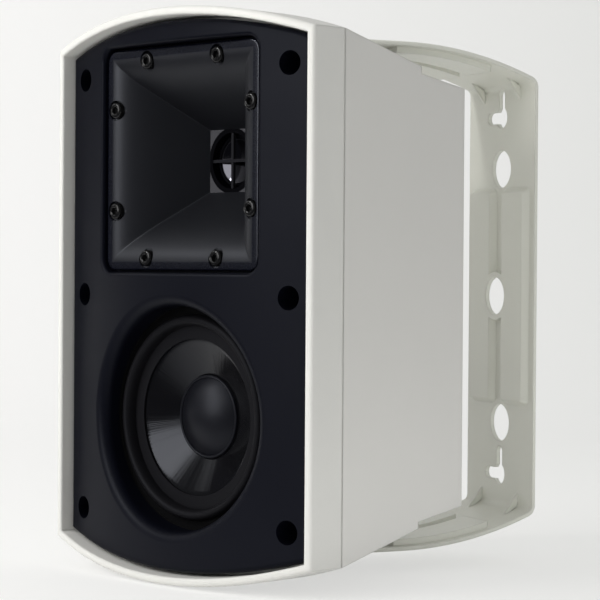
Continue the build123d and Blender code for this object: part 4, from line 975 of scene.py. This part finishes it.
@dataclass
class Woofer:
    """Glossy cone, dust cap and the rubber surround round them."""

    shop: Shop
    skin: float = 0.8 * MM
    flat: float = 4.0 * MM
    soft: float = 2.0 * MM
    neck_fit: float = 0.05 * MM
    glue: float = 1.3 * MM
    glue_rise: float = 0.6 * MM
    glue_sink: float = 0.1 * MM
    cap_skirt: float = 0.5 * MM
    cap_skin: float = 0.7 * MM
    rubber: float = 0.7 * MM
    crest: float = 5.2 * MM
    roll_in: float = 1.3 * MM
    roll_edge: float = 0.4 * MM
    foot_flat: float = 0.8 * MM
    foot_lean: float = 0.3 * MM
    rim_lean: float = 0.5 * MM
    rim_step: float = 0.2 * MM
    rim_flat: float = 1.2 * MM
    steps: int = 192
    cap_steps: int = 144
    ball_steps: int = 20
    crease: float = 60.0

    def __post_init__(self) -> None:
        """Take the places and sizes from the frame."""
        low, high = corners_of("woofer_cone")
        self.centre = axis_of("woofer_cone")
        self.cone_rim = radius_of("woofer_cone")
        self.front = low.y
        self.neck_y = high.y - self.skin
        self.neck = radius_of("coil_former") + self.neck_fit
        self.shoulder = self.cone_rim - self.flat
        self.outer = radius_of("woofer_surround")
        self.roll_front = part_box("woofer_surround")[0][1]

    def face(self, radius: float) -> float:
        """y of the cone's front at a distance from its axis."""
        share = max(0.0, (self.shoulder - radius) / (self.shoulder - self.neck))
        return self.front + (self.neck_y - self.front) * share

    def cone(self) -> None:
        """Make the cone with a soft bend at its shoulder."""
        start, end = self.shoulder - self.soft, self.shoulder + self.soft
        bend = bent((start, self.face(start)), (self.shoulder, self.front), (end, self.front), steps=6)
        profile = [(self.neck, self.neck_y), *bend, (self.cone_rim, self.front)]
        profile += [(radius, depth + self.skin) for radius, depth in reversed(profile)]
        skin = turned(profile, self.centre, self.steps)
        piece = self.shop.piece("cone_skin", skin, Finish.CONE, Body.CONE, self.crease)
        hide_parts("woofer_cone")

    def cap(self) -> None:
        """Make the dust cap with its glued rim."""
        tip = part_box("dust_cap")[0][1]
        foot = radius_of("dust_cap")
        edge = foot - self.glue
        rim = self.face(foot) - self.glue_rise
        rise = rim - tip
        ball = (edge**2 + rise**2) / (2 * rise)
        bead = self.glue / 2
        radii = (edge * step / self.ball_steps for step in range(self.ball_steps + 1))
        profile = [(r, tip + ball - math.sqrt(ball**2 - r**2)) for r in radii]
        bead_radii = (bead, self.glue_rise + self.glue_sink)
        profile += arc((edge + bead, rim + self.glue_sink), bead_radii, -180, 0, steps=8)[1:]
        profile += [(foot, self.face(foot)), (edge - self.cap_skirt, self.face(edge))]
        profile += [(0.0, tip + self.cap_skin)]
        skin = turned(profile, self.centre, self.cap_steps)
        piece = self.shop.piece("dust_cap_dome", skin, Finish.DUST_CAP, Body.CONE, crease=50.0)
        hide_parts("dust_cap")

    def surround(self) -> None:
        """Make the surround in two pieces that meet at the crest of its roll."""
        foot = self.cone_rim + self.roll_in
        land = self.front - self.rubber
        rest = self.roll_front + self.crest
        under = rest + self.rubber
        crest = ((foot + self.outer - self.roll_edge) / 2, self.roll_front)
        below = (crest[0], crest[1] + self.rubber)
        edge = (self.outer - self.rim_step, rest)
        rise = bent((foot, land), (foot + self.foot_lean, crest[1]), crest, steps=10)
        fall = bent(crest, (self.outer - self.rim_lean, crest[1]), edge, steps=10)
        inner = [(self.shoulder, land), (foot - self.foot_flat, land), *rise, below]
        inner += [(foot + self.rubber, self.front), (self.shoulder, self.front)]
        outer = [*fall, (self.outer, rest), (self.outer, under), (self.outer - self.rim_flat, under), below]
        pieces = {}
        for name, profile, body in (("outer", outer, Body.CABINET), ("inner", inner, None)):
            skin = turned(profile, self.centre, self.steps)
            pieces[name] = self.shop.piece(f"surround_{name}", skin, Finish.SURROUND, body, self.crease)
            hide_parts("woofer_surround")
        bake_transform(pieces["inner"])

    def build(self) -> None:
        """Make every piece of the woofer that shows."""
        self.cone()
        self.cap()
        self.surround()


@dataclass
class Terminals:
    """Fluted caps that screw down on the two terminal posts."""

    shop: Shop
    flutes: int = 18
    flute_depth: float = 0.5 * MM
    collar: float = 1.8 * MM
    chamfer: float = 0.4 * MM
    neck: Pair = (0.3 * MM, 0.2 * MM)
    round_over: float = 0.7 * MM
    round_start: float = 15.0
    land: float = 1.5 * MM
    dish: float = 0.5 * MM
    bore: float = 2.05 * MM
    end_wall: float = 2.0 * MM
    grip_steps: int = 4
    steps: int = 216

    def cap(self, node: str, name: str, finish: Finish, body: Body) -> None:
        """Make one cap.

        Args:
            node: The CAD node that it stands for.
            name: The piece's name.
            finish: Its finish.
            body: The body that it rides on.
        """
        low, high = corners_of(node)
        centre, radius = axis_of(node), radius_of(node)
        front, back = low.y, high.y
        collar_end, bottom = front + self.collar, back - self.end_wall
        grip_front, grip_back = collar_end + self.chamfer, back - self.round_over
        lip = radius - self.round_over - self.land
        profile = [(0.0, bottom), (self.bore, bottom), (self.bore, front)]
        profile += [(radius - self.chamfer, front), (radius, front + self.chamfer), (radius, collar_end)]
        profile += [(radius - self.neck[0], collar_end + self.neck[1])]
        profile += line((radius, grip_front), (radius, grip_back), self.grip_steps)
        bend = (self.round_over, self.round_over)
        profile += arc((radius - self.round_over, grip_back), bend, self.round_start, 90, steps=5)
        profile += [(lip, back), (lip - self.dish, back - self.dish), (0.0, back - self.dish)]
        points, faces = turned(profile, centre, self.steps)
        grooved = [self.groove(point, centre, grip_front, radius) for point in points]
        piece = self.shop.piece(name, (grooved, faces), finish, body, crease=50.0)
        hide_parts(node)

    def groove(self, point: Point, centre: Pair, start: float, radius: float) -> Point:
        """Sink a point of the grip into the nearest flute.

        Args:
            point: The point on the plain cap.
            centre: x and z of the cap's axis.
            start: y where the grip starts.
            radius: The cap's radius.

        Returns:
            The moved point.
        """
        x, z = point[0] - centre[0], point[2] - centre[1]
        out = math.hypot(x, z)
        if point[1] < start - WELD or out < radius - self.round_over:
            return point
        wave = 0.5 - 0.5 * math.cos(self.flutes * math.atan2(z, x))
        share = (out - self.flute_depth * wave**2) / out
        return (centre[0] + x * share, point[1], centre[1] + z * share)

    def build(self) -> None:
        """Make both caps."""
        self.cap("red_terminal_cap", "red_fluted_cap", Finish.RED_CAP, Body.RED_CAP)
        self.cap("black_terminal_cap", "black_fluted_cap", Finish.BLACK_CAP, Body.BLACK_CAP)


class Shows(Enum):
    """What a lamp shows on."""

    ALL = "all"
    MATT = "matt"
    GLOSS = "gloss"


@dataclass(frozen=True)
class Lamp:
    """One soft rectangular lamp, which the camera does not see."""

    name: str
    place: Point
    target: Point
    size: Pair
    power: float
    tint: Colour = (1.0, 1.0, 0.99)
    shows: Shows = Shows.ALL

    def hang(self) -> None:
        """Put the lamp into the scene."""
        light = bpy.data.lights.new(self.name, "AREA")
        light.shape = "RECTANGLE"
        light.size, light.size_y = self.size
        light.energy = self.power
        light.color = self.tint
        thing = placed(self.name, light)
        aim = Vector(self.target) - Vector(self.place)
        thing.location = self.place
        thing.rotation_euler = aim.to_track_quat("-Z", "Y").to_euler()
        thing.visible_glossy = self.shows is not Shows.MATT
        thing.visible_diffuse = self.shows is not Shows.GLOSS
        thing.visible_camera = False


@dataclass
class Studio:
    """Camera, lamps and the pale sweep that the speaker stands on."""

    fitted_eye: Point = (0.6675, -0.6016, 0.0109)
    fitted_front: float = -12.6 * MM
    yaw: float = 44.86
    pitch: float = -0.78
    roll: float = 0.39
    focal_px: float = 2183.0
    frame_px: float = 600.0
    floor_z: float = -0.1180
    target: Point = (0.0, -0.03, 0.0)
    distance: float = 1.25
    warm: Colour = (1.0, 0.99, 0.97)
    glow: float = 0.36
    glow_lean: Point = (0.02, 0.0, 0.20)
    glow_tint: Colour = (1.0, 1.0, 0.99)
    gloss_share: float = 0.36
    far_tone: float = 0.88
    # Painted light falloff: the paper is lighter on the left and darker on the right.
    paper_painted_light: Colour = (0.985, 0.98, 0.97)
    paper_painted_shade: Colour = (0.81, 0.815, 0.80)
    paper_glow: float = 0.58
    paper_lift: float = 1.14
    paper_cloud: float = 0.4
    paper_mottle: float = 0.06
    # Painted dark reflection: the paper far in front shows dark to glossy rays only.
    dark_reflection_start: float = 0.17
    dark_reflection_fade: float = 0.08
    painted_dark_reflection_tone: Colour = (0.05, 0.05, 0.06)
    painted_falloff_slope: float = 1.4
    sweep_reach: float = 0.75
    sweep_bend: float = 0.5
    sweep_steps: int = 16
    sweep_width: float = 6.0
    sweep_front: float = 6.0
    sweep_height: float = 3.0

    def __post_init__(self) -> None:
        """Work out the camera's level directions."""
        yaw = math.radians(self.yaw)
        self.ahead = Vector((-math.sin(yaw), math.cos(yaw), 0.0))
        self.right = Vector((math.cos(yaw), math.sin(yaw), 0.0))

    def camera(self) -> None:
        """Set up the camera where it was fitted in front of the bezel, at the photograph's angle."""
        lens = bpy.data.cameras.new("camera")
        lens.sensor_width = 36.0
        lens.lens = self.focal_px / self.frame_px * lens.sensor_width
        lens.clip_start = 0.01
        lens.clip_end = 50.0
        thing = placed("camera", lens)
        pitch, roll = math.radians(self.pitch), math.radians(self.roll)
        look = self.ahead * math.cos(pitch) + Vector(UP) * math.sin(pitch)
        upward = self.right.cross(look)
        side = self.right * math.cos(roll) + upward * math.sin(roll)
        top = upward * math.cos(roll) - self.right * math.sin(roll)
        turn = Matrix((side, top, -look)).transposed().to_4x4()
        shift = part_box("front_bezel")[0][1] - self.fitted_front
        eye = Vector(self.fitted_eye) + Vector(BACK) * shift
        thing.matrix_world = Matrix.Translation(eye) @ turn
        bpy.context.scene.camera = thing

    def world(self) -> None:
        """Even light from all round, a little stronger from the right and from above."""
        world = bpy.data.worlds.new("studio")
        bpy.context.scene.world = world
        graph = Graph(world)
        look = graph.node("ShaderNodeTexCoord", output="Generated")
        glow = self.glow + graph.along(look, self.glow_lean)
        backdrop = graph.seen()
        camera = graph.node("ShaderNodeLightPath", output="Is Camera Ray")
        amount = glow * (1 - backdrop) + self.gloss_share * glow * (backdrop - camera)
        amount = amount + self.far_tone * camera
        inputs = {"Color": (*self.glow_tint, 1.0), "Strength": amount}
        ground = graph.node("ShaderNodeBackground", None, inputs)
        graph.node("ShaderNodeOutputWorld", None, {"Surface": ground})

    def paper(self) -> bpy.types.Material:
        """Pale paper that keeps the shadow, with painted light falloff that darkens it to the right and a
        painted dark reflection far in front that only gloss sees.

        Returns:
            The finished material.
        """
        graph = Graph.named("sweep_paper")
        across = graph.along(graph.place(), tuple(self.right))
        cloud = graph.noise(self.paper_cloud).swing(self.paper_mottle)
        # Painted light falloff across the paper, from the lighter left to the darker right.
        fade = (across * self.painted_falloff_slope + 0.5 + cloud).clamped()
        painted_falloff = graph.blend(fade, self.paper_painted_light, self.paper_painted_shade)
        matte = graph.node("ShaderNodeBsdfDiffuse", None, {"Color": painted_falloff})
        lit = graph.node("ShaderNodeEmission", None, {"Color": painted_falloff, "Strength": self.paper_lift})
        share = graph.seen() * self.paper_glow
        mixed = graph.node("ShaderNodeMixShader", None, {0: share, 1: matte, 2: lit})
        # Painted dark reflection: glossy rays see a dark emission on the paper far in front, standing in for
        # an unlit room.
        forward = -1 * graph.along(graph.place(), BACK)
        ahead = ((forward - self.dark_reflection_start) / self.dark_reflection_fade).clamped()
        gloss = graph.node("ShaderNodeLightPath", output="Is Glossy Ray")
        painted_dark_reflection = graph.node("ShaderNodeEmission", None, {"Color": (*self.painted_dark_reflection_tone, 1.0)})
        with_dark_reflection = graph.node("ShaderNodeMixShader", None, {0: ahead * gloss, 1: mixed, 2: painted_dark_reflection})
        graph.node("ShaderNodeOutputMaterial", None, {"Surface": with_dark_reflection})
        return graph.owner

    def sweep(self) -> None:
        """Lay the pale floor with its curve up into the backdrop."""
        bend = (self.sweep_bend, self.sweep_bend)
        outline = [(-self.sweep_front, 0.0)]
        outline += arc((self.sweep_reach, self.sweep_bend), bend, -90, 0, self.sweep_steps)
        outline.append((self.sweep_reach + self.sweep_bend, self.sweep_height))
        points, faces = [], []
        for depth, height in outline:
            for out in (-self.sweep_width, self.sweep_width):
                points.append(self.ahead * depth + self.right * out + Vector(UP) * (self.floor_z + height))
        for row in range(0, len(points) - 2, 2):
            faces.append((row, row + 1, row + 3, row + 2))
        mesh = bpy.data.meshes.new("sweep")
        mesh.from_pydata(points, [], faces)
        mesh.shade_smooth()
        mesh.materials.append(self.paper())
        thing = placed("sweep", mesh)

    def stand(self, left: float, above: float) -> Point:
        """Place of a lamp in front of the speaker.

        Args:
            left: Degrees to the left of straight ahead.
            above: Degrees above the horizon.

        Returns:
            The place.
        """
        side, rise = math.radians(left), math.radians(above)
        level = self.distance * math.cos(rise)
        x, y, z = self.target
        return (x - level * math.sin(side), y - level * math.cos(side), z + self.distance * math.sin(rise))

    def lamps(self) -> List[Lamp]:
        """Every lamp of the studio, the broad ones first."""
        low: Point = (0.15, 0.0, self.floor_z + 4 * MM)
        overhead: Point = (0.15, 0.0, 1.0)
        beside: Point = (0.04, 0.05, 0.0)
        ahead = self.target
        gloss, matt = Shows.GLOSS, Shows.MATT
        return [
            Lamp("softbox", self.stand(13.5, 18.0), ahead, size=(0.58, 0.70), power=6.8, tint=self.warm),
            Lamp("key", self.stand(32.0, 36.0), ahead, size=(0.10, 0.16), power=3.0, tint=self.warm),
            Lamp("fill", self.stand(-50.0, 0.0), beside, size=(0.5, 0.14), power=0.76, shows=matt),
            Lamp("bounce", low, overhead, size=(0.10, 0.28), power=0.047, shows=matt),
            Lamp("window", self.stand(77.0, -2.0), ahead, size=(0.5, 0.14), power=0.55, shows=gloss),
            Lamp("wall", self.stand(66.0, 28.0), ahead, size=(0.55, 0.34), power=0.7, shows=gloss),
        ]

    def build(self) -> None:
        """Set up the whole studio."""
        bpy.context.scene.view_settings.view_transform = "Standard"
        self.camera()
        self.world()
        for lamp in self.lamps():
            lamp.hang()
        self.sweep()
        LOG.info("studio ready")


def main() -> None:
    """Build the speaker and its studio in order."""
    logging.basicConfig(level=logging.INFO, format="%(message)s")
    paint = Paint()
    paint.dress_frame()
    shop = Shop(paint)
    HornTweeter(shop).build()
    Woofer(shop).build()
    Terminals(shop).build()
    Studio().build()


if __name__ == "__main__":
    main()
